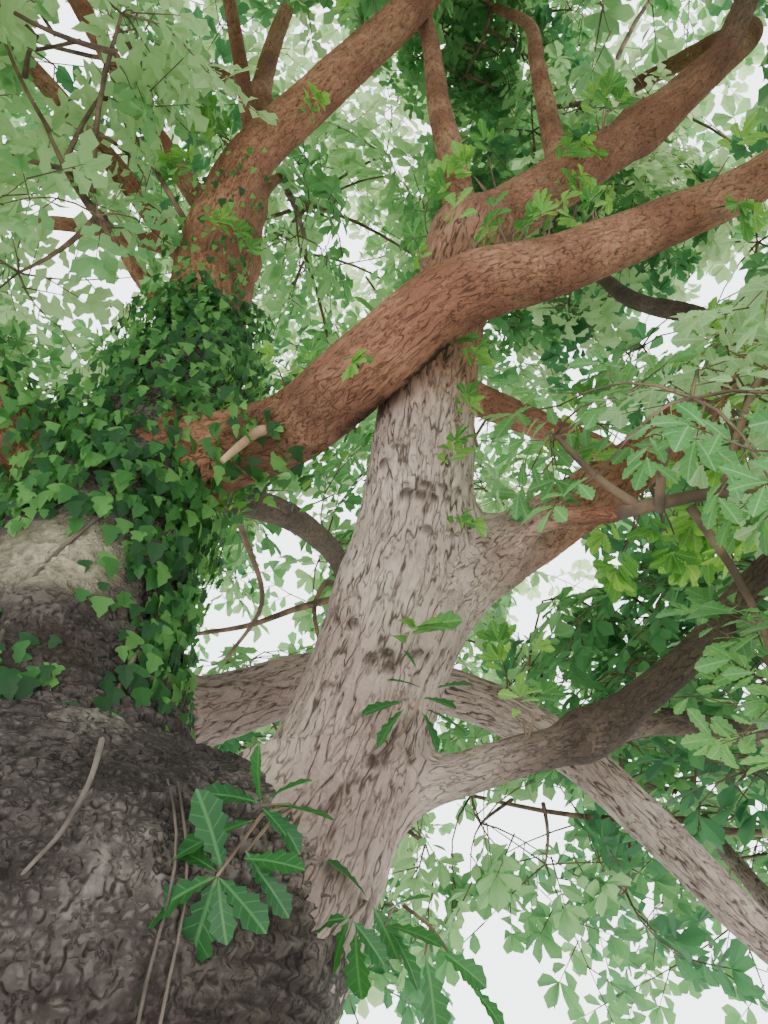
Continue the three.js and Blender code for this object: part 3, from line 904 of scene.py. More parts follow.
def triangle_distance(points: Array, a: Array, b: Array, c: Array) -> Array:
    """The distance of each point from a triangle.

    Args:
        points: the points, as rows.
        a: the triangle's first corner.
        b: its second corner.
        c: its third corner.

    Returns:
        The distances.
    """
    ab, ac = b - a, c - a
    normal = unit(np.cross(ab, ac))
    off = points - a
    flat = off - (off @ normal)[:, None] * normal
    sides = np.array([[ab @ ab, ab @ ac], [ab @ ac, ac @ ac]])
    weights = np.linalg.solve(sides, np.stack([flat @ ab, flat @ ac]))
    inside = (weights[0] >= 0) & (weights[1] >= 0) & (weights.sum(0) <= 1)
    best = np.where(inside, np.abs(off @ normal), np.inf)
    for p, q in ((a, b), (b, c), (c, a)):
        best = np.minimum(best, off_stretch(points, p, q)[1])
    return best


class KeepOff:
    """Points down the middle of every limb, which twigs and sprays stay clear of."""

    def __init__(self, limbs: Iterable[Limb], step: float = 0.12, margin: float = 0.03) -> None:
        """Samples the limbs.

        Args:
            limbs: the limbs.
            step: how far apart the points are.
            margin: how far clear of the bark they keep things.
        """
        points, radii = [], []
        for limb in limbs:
            line = limb.line()
            steps = math.ceil(line.length / step)
            share = np.arange(steps + 1) / steps
            points.append(line.at(share))
            radii.append(limb.radius(share, line.length) + margin)
        self.points, self.radii = np.vstack(points), np.concatenate(radii)

    def clears_stretch(self, start: Array, end: Array, margin: float) -> bool:
        """True where a straight stretch stays clear of the limbs."""
        return bool(np.all(off_stretch(self.points, start, end)[1] > self.radii + margin))

    def clears_spray(self, spray: Spray) -> bool:
        """True where a spray stays clear of the limbs.

        Args:
            spray: the spray.

        Returns:
            Whether it is clear.
        """
        close = np.linalg.norm(self.points - spray.centre, axis=1) <= self.radii + 1.3 * spray.size
        points, radii = self.points[close], self.radii[close]
        if not len(points):
            return True
        rim = spray.rim()
        for k, corner in enumerate(rim):
            gap = triangle_distance(points, spray.centre, corner, rim[(k + 1) % len(rim)])
            if np.any(gap <= radii + 0.05 * spray.size):
                return False
        return True


@dataclass(frozen=True)
class Tier:
    """One ring of masses: how many, where the first is, how far out and up, their reach and their sprays."""

    count: int
    first: float
    out: float
    height: float
    reach: Place
    spray: float


@dataclass(frozen=True)
class BoughRule:
    """The boughs that a tier's masses get by rule: which, from what heights, their rise and their girth."""

    masses: tuple[int, ...]
    heights: Pair
    rise: float
    girth: Pair


TIERS = {
    "skirt": Tier(9, -25, 5.5, 4.25, (2.4, 2.05, 1.7), 1.25),
    "shoulder": Tier(8, -12, 4.75, 7.35, (2.6, 2.2, 2.15), 1.35),
    "upper": Tier(5, -46, 2.95, 10.55, (2.6, 2.35, 2.15), 1.4),
    "top": Tier(1, 100, 0.15, 13.15, (2.5, 2.5, 1.85), 1.35),
}
INNER_MASSES = {
    "inner_right": ((2.35, 1.5, 8.0), (1.3, 1.3, 1.25), 0.8),
    "inner_front": ((0.7, -1.15, 9.15), (1.3, 1.3, 1.25), 0.8),
    "inner_high": ((1.75, 0.25, 9.85), (1.0, 1.0, 1.0), 0.7),
    "near_right": ((2.02, -0.47, 2.99), (0.75, 0.65, 0.7), 0.4),
    "inner_left": ((-0.98, -0.08, 6.05), (1.05, 1.05, 1.0), 0.7),
}
BOUGH_RULES = {
    "skirt": BoughRule((5, 6, 7), (2.85, 3.9), 0.75, (0.2, 0.095)),
    "shoulder": BoughRule((4, 5, 6), (5.0, 6.4), 0.55, (0.15, 0.085)),
    "upper": BoughRule((3, 4, 5), (7.3, 9.0), 0.5, (0.15, 0.085)),
}
SIDEWAYS = [0.2, 0.9, 0.1]


@dataclass
class Crown:
    """The plan of masses and of the limbs that carry them, and the rule by which twigs and sprays grow."""

    middle: Pair = (0.25, 0.15)
    twigs: int = 7
    tips: int = 5
    turn: float = 137.5
    opening: Pair = (88, 34)
    shortest: float = 0.26
    reach_step: float = 0.06
    uneven: float = 0.22
    apart: float = 0.62
    sizes: tuple[float, ...] = (1.0, 0.82, 0.66, 0.5)
    stem_girth: float = 0.42
    twig_starts: Pair = (0.2, 0.9)
    twig_girths: Pair = (0.42, 0.24)
    girth_share: float = 0.72
    thinnest: Pair = (0.24, 0.018)
    set_back: float = 0.36
    set_backs: Pair = (0.7, 1.6)
    clear_from: float = 0.3
    least_tip: float = 0.45
    fine_seed: int = 7000
    fine_tries: int = 90
    fine_within: float = 0.92
    fine_size: float = 0.62
    fine_tips: Pair = (0.75, 1.2)
    fine_apart: float = 0.5
    fine_least_tip: float = 0.35
    fine_overlap: float = 0.01
    fine_girth: Pair = (0.016, 0.01)
    climb_cost: float = 0.2

    def masses(self) -> dict[str, Mass]:
        """Every mass by name."""
        made: dict[str, Mass] = {}
        for row, (label, tier) in enumerate(TIERS.items()):
            random = Seeded(40 + row)
            for i in range(tier.count):
                turn = math.radians(tier.first + 360 / tier.count * i)
                far = tier.out * mix(0.94, 1.06, random())
                x, y = self.middle[0] + far * math.cos(turn), self.middle[1] + far * math.sin(turn)
                centre = np.array([x, y, tier.height + 0.5 * (random() - 0.5)])
                name = f"{label}_{i + 1}"
                made[name] = Mass(name, centre, turn, tier.reach, tier.spray, 100 * row + i + 7)
        for i, (name, (at, reach, spray)) in enumerate(INNER_MASSES.items()):
            made[name] = Mass(name, np.array(at), 0.0, reach, spray, 500 + i)
        for mass in made.values():
            mass.bound(made)
        return made

    @staticmethod
    def door(mass: Mass, last: Array) -> Array:
        """The point where a bough hands over to its mass."""
        inward = mass.centre - last
        far = float(np.linalg.norm(inward))
        way = unit(inward)
        there = 1 / mass.depth(mass.centre + way)
        return mass.centre - way * min(0.72 * there, 0.75 * far)

    def ruled(self, masses: dict[str, Mass], stem: Limb, leader: Limb) -> dict[str, Limb]:
        """The boughs that are drawn by rule.

        Args:
            masses: every mass by name.
            stem: the left stem, which the boughs leave.
            leader: the limb that carries on from it.

        Returns:
            The boughs by name.
        """
        axis = Route([*stem.route, *leader.route[1:]]).at(np.linspace(0, 1, 201))
        made: dict[str, Limb] = {}
        for tier, rule in BOUGH_RULES.items():
            for i, number in enumerate(rule.masses):
                mass = masses[f"{tier}_{number}"]
                height = mix(*rule.heights, ((2 * i) % len(rule.masses)) / (len(rule.masses) - 1))
                start = axis[int(np.argmin(np.abs(axis[:, 2] - height)))]
                aim = np.array([start[0], start[1], mix(height, mass.centre[2], rule.rise)])
                door = self.door(mass, aim)
                knee = (start + door) / 2
                knee[2] = mix(height, door[2], rule.rise) + 0.05 * float(np.linalg.norm(door - start))
                parents = ("left_stem", "left_leader")
                bough = Limb([start, knee, door], rule.girth, parents, mass.name, cell=0.032)
                made[f"{tier}_bough_{number}"] = bough
        return made

    def grow(self, mass: Mass, bough: Limb, keep_off: KeepOff) -> tuple[list[Twig], list[Spray]]:
        """The twigs and sprays of one mass.

        Args:
            mass: the mass.
            bough: the limb that carries it.
            keep_off: what they stay clear of.

        Returns:
            Its twigs and its sprays.
        """
        random = Seeded(mass.seed)
        line = bough.line()
        foot = line.at(1.0) - line.heading(1.0) * 0.012
        tip = mass.centre + (foot - mass.centre) * -0.3
        stem = tip - foot
        forward = unit(stem)
        level = unit(np.cross(forward, [0.1, 0.2, 1.0]))
        girth = bough.girth[1]
        plan = [(foot, tip, self.stem_girth * girth)]
        thin = min(self.thinnest[0] * girth, self.thinnest[1] * mass.spray)
        for i in range(self.twigs):
            share = mix(*self.twig_starts, i / (self.twigs - 1))
            opening = math.radians(mix(*self.opening, share))
            turn = math.radians(self.turn * i + 40 * random())
            out = turned(level, forward, turn)
            along = unit(forward * math.cos(opening) + out * math.sin(opening))
            start = foot + stem * share
            length = self.shortest
            while mass.owns(start + along * length):
                length += self.reach_step
            back = mass.spray * self.set_back * mix(*self.set_backs, random())
            length = max(self.shortest, length - back)
            end = start + along * length
            thick = mix(*self.twig_girths, share) * self.girth_share * girth
            if keep_off.clears_stretch(start + (end - start) * self.clear_from, end, thick):
                plan.append((start, end, thick))
        twigs: list[Twig] = []
        sprays: list[Spray] = []
        for i, (start, end, thick) in enumerate(plan):
            spray = self._spray_at(mass, keep_off, start, end, sprays, random)
            if spray is not None:
                sprays.append(spray)
            if spray is not None or i == 0:
                twigs.append(Twig(start, end, thick, thin, mass.name))
        return twigs, sprays

    def _spray_at(
        self, mass: Mass, keep_off: KeepOff, start: Array, end: Array, kept: list[Spray], random: Seeded
    ) -> Spray | None:
        """The spray at the end of a twig.

        Args:
            mass: the mass that it is in.
            keep_off: what it stays clear of.
            start: where the twig starts.
            end: where it ends.
            kept: the mass's sprays so far.
            random: the mass's random numbers.

        Returns:
            The spray, or None where none fits.
        """
        facing = unit(unit(end - start) + np.array([0, 0, 0.35]))
        level = turned(unit(np.cross(facing, SIDEWAYS)), facing, FULL_TURN * random())
        lengths = [mass.spray * (1 + self.uneven * (2 * random() - 1)) for _ in range(self.tips)]
        if any(np.linalg.norm(other.centre - end) < self.apart * mass.spray for other in kept):
            return None
        for share in self.sizes:
            spray = Spray(end, facing, level, mass.spray * share, [n * share for n in lengths], mass.name)
            spray.draw_in(mass, self.least_tip)
            if all(mass.owns(p) for p in spray.rim()) and keep_off.clears_spray(spray):
                return spray
        return None

    def fill(self, mass: Mass, keep_off: KeepOff, twigs: list[Twig], sprays: list[Spray], most: int) -> None:
        """Adds finer twigs, each with a smaller spray, where a mass has room left.

        Args:
            mass: the mass.
            keep_off: what they stay clear of.
            twigs: the mass's twigs, which the finer ones are added to.
            sprays: its sprays, likewise.
            most: how many to add at most.
        """
        random = Seeded(mass.seed + self.fine_seed)
        share = np.linspace(0.15, 0.95, 12)
        axis = np.vstack([t.start + np.outer(share, t.end - t.start) for t in twigs])
        size = self.fine_size * mass.spray
        added = 0
        for _ in range(self.fine_tries):
            off = np.array([2 * random() - 1, 2 * random() - 1, 2 * random() - 1]) * np.array(mass.reach)
            c, s = math.cos(mass.turn), math.sin(mass.turn)
            off = np.array([off[0] * c - off[1] * s, off[0] * s + off[1] * c, off[2]])
            end = mass.centre + self.fine_within * off
            lengths = [size * mix(*self.fine_tips, random()) for _ in range(self.tips)]
            spin = FULL_TURN * random()
            near = min(float(np.linalg.norm(other.centre - end)) for other in sprays)
            if added == most or near < self.fine_apart * mass.spray or not mass.owns(end):
                continue
            cost = np.linalg.norm(axis - end, axis=1) + self.climb_cost * np.abs(axis[:, 2] - end[2])
            start = axis[int(np.argmin(cost))]
            facing = unit(unit(end - start) * 0.8 + UP * 0.7)
            level = turned(unit(np.cross(facing, SIDEWAYS)), facing, spin)
            spray = Spray(end, facing, level, size, lengths, mass.name)
            spray.draw_in(mass, self.fine_least_tip)
            if keep_off.clears_spray(spray) and keep_off.clears_stretch(start, end, -self.fine_overlap):
                sprays.append(spray)
                twigs.append(Twig(start, end, *self.fine_girth, mass.name))
                added += 1


STEMS = {
    "left_stem": Limb(
        [(-0.06, 0.07, 1.9), (-0.17, 0.12, 2.7), (-0.15, 0.22, 3.7), (-0.07, 0.31, 4.42),
         (-0.06, 0.325, 4.8)],
        (0.96, 0.4), ("bole",), collar=0.15, bark=COARSE_BARK, cell=0.012,
    ),
    "right_stem": Limb(
        [(0.3, 0.06, 1.7), (0.5, 0.045, 2.0), (0.625, 0.04, 2.17), (0.74, 0.02, 2.44), (0.85, -0.03, 2.77),
         (0.95, -0.12, 3.21), (1.0, -0.19, 3.64), (1.08, -0.23, 4.12), (1.21, -0.32, 4.6)],
        (0.47, 0.29), ("bole",), collar=0.05, bark=GREY_BARK, cell=0.0085,
    ),
    "left_leader": Limb(
        [(-0.1, 0.3, 4.25), (-0.11, 0.72, 5.5), (-0.18, 0.95, 7.5), (-0.26, 0.76, 9.5), (-0.1, 0.5, 10.8)],
        (0.33, 0.13), ("left_stem",), "top_1", cell=0.02,
    ),
}

BOUGHS = {
    "overhead_bough": Limb(
        [(-0.06, 0.325, 4.8003), (-0.11, 0.22, 5.4), (0.07, -0.01, 5.96), (0.53, -0.24, 6.51),
         (1.21, -0.56, 7.5)],
        (0.33, 0.17), ("left_stem",), "upper_1", 0.0, cell=0.012,
    ),
    "crossing_bough": Limb(
        [(0.0, 0.13, 3.7), (0.48, -0.06, 3.69), (0.8, -0.43, 3.61), (1.06, -0.59, 3.74), (1.48, -0.5, 4.1),
         (1.96, -0.44, 4.5), (2.51, -0.46, 4.9)],
        (0.29, 0.13), ("left_stem", "right_stem"), "shoulder_1", cell=0.0085,
    ),
    "upper_bough": Limb(
        [(1.2103, -0.32, 4.6003), (1.69, -0.28, 5.21), (2.19, -0.27, 5.8), (2.72, -0.33, 6.47),
         (3.25, -0.25, 7.4)],
        (0.27, 0.12), ("right_stem",), "upper_2", 0.0, cell=0.012,
    ),
    "dark_arm": Limb(
        [(2.19, -0.27, 5.8), (2.52, -0.44, 6.01), (2.8, -0.76, 6.42)],
        (0.15, 0.09), ("upper_bough",), "shoulder_8", bark=ARM_BARK, cell=0.013,
    ),
    "upright_bough": Limb(
        [(1.19, -0.3, 4.48), (1.185, -0.3, 5.2), (1.15, -0.29, 6.1), (1.13, -0.3, 7.2)],
        (0.16, 0.09), ("right_stem", "upper_bough"), "inner_front", cell=0.012,
    ),
    "far_upright_bough": Limb(
        [(1.7, -0.28, 5.23), (1.745, -0.25, 6.0), (1.8, -0.23, 6.9), (1.88, -0.15, 7.8)],
        (0.125, 0.075), ("upper_bough",), "inner_high", cell=0.016,
    ),
    "mid_bough": Limb(
        [(0.92, -0.06, 2.9), (1.15, -0.06, 3.06), (1.46, 0.0, 3.33), (1.81, 0.05, 3.65), (2.19, 0.09, 4.05),
         (2.58, 0.15, 4.43), (3.0, 0.56, 5.0)],
        (0.232, 0.11), ("right_stem",), "shoulder_2", cell=0.0095,
    ),
    "near_bough": Limb(
        [(1.2, -0.05, 3.09), (1.33, -0.24, 3.09)],
        (0.08, 0.05), ("mid_bough",), "near_right", 0.2, cell=0.01,
    ),
    "riser_bough": Limb(
        [(2.58, 0.15, 4.43), (2.47, 0.33, 4.98), (2.33, 0.66, 5.66)],
        (0.12, 0.08), ("mid_bough",), "inner_right", bark=DARK_BARK, cell=0.018,
    ),
    "back_limb": Limb(
        [(1.0, -0.1, 4.06), (1.23, 0.21, 4.22), (1.59, 0.5, 4.35), (2.02, 0.86, 4.52), (2.35, 1.9, 5.15)],
        (0.15, 0.105), ("right_stem",), "shoulder_3", cell=0.013,
    ),
    "low_bough": Limb(
        [(-0.1, 0.33, 2.62), (0.32, 0.52, 2.9), (0.61, 0.6, 3.04), (1.11, 0.79, 3.1), (1.53, 0.88, 2.92),
         (1.88, 1.03, 2.65), (2.3, 1.29, 2.33), (2.9, 2.05, 2.3)],
        (0.275, 0.095), ("left_stem",), "skirt_3", taper=0.5, bark=GREY_BARK, cell=0.011,
    ),
    "fork_limb": Limb(
        [(0.78, 0.06, 2.35), (1.01, 0.02, 2.4), (1.22, 0.03, 2.47), (1.43, 0.08, 2.56), (1.78, 0.05, 2.8),
         (2.11, 0.01, 3.11)],
        (0.118, 0.075), ("right_stem",), "skirt_1", bark=DARK_BARK, cell=0.009,
    ),
    "fork_limb_low": Limb(
        [(1.43, 0.08, 2.56), (1.74, 0.29, 2.71), (2.15, 0.47, 2.76)],
        (0.09, 0.07), ("fork_limb",), "skirt_2", bark=DARK_BARK, cell=0.01,
    ),
    "rear_bough": Limb(
        [(-0.1, 0.3, 3.8), (0.38, 1.32, 4.45), (0.57, 2.7, 4.95)],
        (0.17, 0.1), ("left_stem",), "skirt_4", bark=DARK_BARK, cell=0.016,
    ),
    "front_left_bough": Limb(
        [(-0.1, 0.19, 3.6), (-0.66, -0.06, 3.9), (-1.02, -1.25, 4.25)],
        (0.19, 0.095), ("left_stem",), "skirt_8", cell=0.02,
    ),
    "front_right_bough": Limb(
        [(2.52, 0.14, 4.38), (2.9, -0.42, 4.64), (3.0, -1.5, 4.62)],
        (0.11, 0.08), ("mid_bough",), "skirt_9", cell=0.02,
    ),
    "high_front_bough": Limb(
        [(-0.13, 0.84, 6.4), (-0.8, 0.25, 7.25), (-1.3, -0.9, 7.6)],
        (0.16, 0.09), ("left_leader",), "shoulder_7", cell=0.02,
    ),
    "inner_left_bough": Limb(
        [(-0.09, 0.4, 4.9), (-0.39, 0.26, 5.18)],
        (0.12, 0.07), ("left_leader", "overhead_bough"), "inner_left", cell=0.018,
    ),
}


# The bole and the limbs as bark-covered skins.


@dataclass
class Bole:
    """The short trunk, from its flat cut to the low fork."""

    height: float = 2.43
    wide: float = 0.6
    flare: float = 0.56
    flare_height: float = 0.33
    buttresses: int = 5
    buttress_depth: float = 0.2
    buttress_turn: float = 0.6
    lean: Pair = (0.09, 0.05)
    lean_power: float = 1.15
    dome_from: float = 1.9
    dome_full: float = 0.98
    tip: float = 0.09
    shoulder: float = 0.05
    shoulder_height: float = 2.25
    shoulder_spread: float = 0.48
    cut: float = 0.002
    cell: float = 0.0135
    bark: Bark = COARSE_BARK

    def radius(self, height: Array, angle: Array) -> Array:
        """The bole's radius at a height, looking out at an angle from +X."""
        flare = self.flare * np.exp(-height / self.flare_height)
        buttress = 1 + self.buttress_depth * np.cos(self.buttresses * angle + self.buttress_turn)
        off = (height - self.shoulder_height) / self.shoulder_spread
        shoulder = self.shoulder * np.exp(-off * off) * np.maximum(0, np.cos(angle))
        dome = np.clip((height - self.dome_from) / (self.height - self.dome_from), 0, 1)
        full = self.wide * (1 + flare * buttress) + shoulder
        return mix(full, self.tip, 1 - np.sqrt(1 - self.dome_full * dome * dome))

    def axis(self, height: Array) -> Array:
        """The middle of the bole at a height."""
        up = np.power(np.clip(height / self.height, 0, 1), 1 / self.lean_power)
        return np.stack([self.lean[0] * up, self.lean[1] * up], -1)

    def box(self) -> tuple[Array, Array]:
        """The low and the high corner round the bole."""
        return np.array([-1.1, -1.1, -0.1]), np.array([1.2, 1.2, self.height])

    def distance(self, points: Array) -> Array:
        """About how far points lie outside the bole.

        Args:
            points: the points, as rows.

        Returns:
            The distances, negative inside.
        """
        step = 0.01
        height = np.clip(points[:, 2], 0, self.height)
        off = points[:, :2] - self.axis(height)
        angle = np.arctan2(off[:, 1], off[:, 0])
        here = self.radius(height, angle)
        slope = (self.radius(np.minimum(height + step, self.height), angle) - here) / step
        side = (np.linalg.norm(off, axis=1) - here) / np.sqrt(1 + slope * slope)
        above = np.maximum(points[:, 2] - self.height, 0)
        return np.where(above > 0, np.hypot(np.maximum(side, 0), above), side)

    def grid(self) -> tuple[Array, Array, Array]:
        """The bole's surface as rings.

        Returns:
            The surface's points, their ways out, and their places in the grain.
        """
        heights = np.linspace(0, self.height, 2000)
        profile = self.radius(heights, np.zeros_like(heights))
        run = np.concatenate([[0], np.cumsum(np.hypot(np.diff(profile), np.diff(heights)))])
        rings = int(run[-1] / self.cell)
        along = np.linspace(0, run[-1], rings + 1)
        height = np.interp(along, run, heights)
        sides = int(FULL_TURN * (self.wide + 0.03) / self.cell)
        angle = np.linspace(0, FULL_TURN, sides, endpoint=False)
        along = np.concatenate([[0.0], along])
        h, a = np.meshgrid(np.concatenate([[0.0], height]), angle, indexing="ij")
        r = self.radius(h, a)
        r[0] = self.cut
        out = np.stack([np.cos(a), np.sin(a), np.zeros_like(a)], -1)
        points = np.concatenate([self.axis(h), h[..., None]], -1) + out * r[..., None]
        up = np.gradient(points, axis=0)
        around = (np.roll(points, -1, 1) - np.roll(points, 1, 1)) / 2
        grain = np.stack([r * np.cos(a), r * np.sin(a), np.broadcast_to(along[:, None], r.shape)], -1)
        return points, unit(np.cross(around, up)), grain


class LimbField:
    """How far any point lies outside a limb."""

    def __init__(self, limb: Limb, step: float = 0.05) -> None:
        """Samples the limb's line and radius."""
        line = limb.line()
        share = np.linspace(0, 1, max(8, int(line.length / step)))
        self.points = line.at(share)
        self.radii = limb.radius(share, line.length)

    def box(self) -> tuple[Array, Array]:
        """The low and the high corner round the limb."""
        wide = self.radii[:, None]
        return (self.points - wide).min(0), (self.points + wide).max(0)

    def distance(self, points: Array, part: int = 20000) -> Array:
        """About how far points lie outside the limb.

        Args:
            points: the points, as rows.
            part: how many are worked out at a time.

        Returns:
            The distances, negative inside.
        """
        best = np.full(len(points), np.inf)
        for start in range(0, len(points), part):
            some = points[start : start + part]
            gap = np.full(len(some), np.inf)
            for a, b, r, s in zip(self.points[:-1], self.points[1:], self.radii[:-1], self.radii[1:]):
                share, off = off_stretch(some, a, b)
                gap = np.minimum(gap, off - (r + (s - r) * share))
            best[start : start + part] = gap
        return best


@dataclass
class Mark:
    """A mark on the bark: a place, its radius, how dark or pale it is, and how far it stands out. The
    darkness is a knot's own colour at some marks and painted shade at others.
    """

    place: Place
    radius: float
    dark: float = 0.0
    pale: float = 0.0
    out: float = 0.0


KNOTS = (
    (0.914, -0.297, 3.189), (0.974, -0.298, 3.184), (1.027, -0.282, 3.186), (1.069, -0.258, 3.197),
    (0.919, -0.292, 3.152), (0.958, -0.292, 3.144), (0.995, -0.286, 3.145), (1.038, -0.268, 3.153),
    (0.97, -0.265, 3.028), (0.884, -0.255, 2.932), (0.926, -0.184, 2.66), (0.853, -0.206, 2.646),
    (0.861, -0.198, 2.614), (0.818, -0.207, 2.63), (0.7, -0.178, 2.569), (0.818, -0.158, 2.368),
    (0.767, -0.206, 2.742), (0.94, -0.179, 2.669), (0.86, -0.27, 3.3), (0.9, -0.29, 3.36),
    (0.99, -0.25, 2.97),
    (1.211, -0.163, 3.124), (1.234, -0.16, 3.106), (1.26, -0.154, 3.14), (1.23, -0.15, 3.15),
)
TORN = (
    (0.705, -0.167, 2.197), (0.714, -0.161, 2.176), (0.721, -0.155, 2.156), (0.724, -0.148, 2.136),
    (0.726, -0.141, 2.116), (0.722, -0.136, 2.096), (0.719, -0.132, 2.076), (0.71, -0.131, 2.06),
    (0.702, -0.13, 2.045), (0.679, -0.155, 2.086), (0.665, -0.158, 2.08),
)
# Painted shade: dark marks in the crease and hollow under the crossing bough, on the shaded undersides beside
# it, round the fork and on the bole by the right stem's foot. Beside the torn edge they are painted shade
# over dark dead wood.
PAINTED_SHADE_PLACES = (
    ((0.927, -0.43, 3.54), 0.016, 1.0), ((0.953, -0.44, 3.555), 0.022, 1.0),
    ((0.978, -0.46, 3.56), 0.028, 1.0), ((1.004, -0.475, 3.578), 0.032, 1.0),
    ((1.028, -0.495, 3.586), 0.03, 1.0), ((1.054, -0.5, 3.604), 0.024, 1.0),
    ((1.08, -0.51, 3.622), 0.017, 0.9), ((0.6, -0.33, 3.54), 0.13, 0.35), ((0.41, -0.11, 3.59), 0.16, 0.4),
    ((0.28, 0.39, 2.8), 0.22, 0.2), ((0.74, -0.44, 3.59), 0.1, 0.2), ((0.75, -0.2, 2.14), 0.22, 0.28),
    ((0.68, -0.2, 2.05), 0.12, 0.42), ((0.72, -0.19, 3.545), 0.05, 0.55), ((0.76, -0.25, 3.52), 0.05, 0.7),
    ((0.8, -0.3, 3.52), 0.045, 0.75), ((0.84, -0.35, 3.52), 0.035, 0.7), ((0.655, -0.175, 2.19), 0.03, 0.7),
    ((0.65, -0.18, 2.13), 0.04, 0.7), ((0.66, -0.17, 2.06), 0.04, 0.8), ((0.639, -0.226, 2.02), 0.05, 0.85),
    ((0.618, -0.275, 1.965), 0.07, 0.7), ((0.58, -0.32, 1.87), 0.17, 0.45),
    ((0.64, -0.22, 1.83), 0.16, 0.4), ((0.6, -0.3, 1.66), 0.24, 0.5), ((0.45, -0.45, 1.8), 0.17, 0.35),
    ((0.15, -0.55, 1.6), 0.34, 0.3), ((-0.02, -0.26, 2.62), 0.09, 0.6), ((0.05, -0.26, 2.6), 0.08, 0.6),
    ((-0.12, -0.3, 2.58), 0.08, 0.5),
)
MARKS = (
    *(Mark(*row) for row in PAINTED_SHADE_PLACES),
    Mark((-0.09, -0.22, 2.98), 0.17, pale=0.42),
    Mark((-0.24, -0.24, 2.98), 0.14, pale=0.35),
    Mark((0.01, -0.19, 3.02), 0.1, pale=0.35),
    Mark((-0.08, -0.27, 2.75), 0.09, dark=0.15, out=0.04),
    *(Mark(place, 0.011 + 0.01 * ((i * 5) % 7) / 6, dark=0.85, out=0.015) for i, place in enumerate(KNOTS)),
    *(Mark(place, 0.013, pale=1.0, out=0.008) for place in TORN),
)
CREASES = {("crossing_bough", "right_stem"): 0.025}
TONE_SOURCES = {"dark_arm": "upper_bough"}
PLAIN_TONES = ("grey_bark", "coarse_bark")
GREY_LIMBS = ("bole", "left_stem", "right_stem")


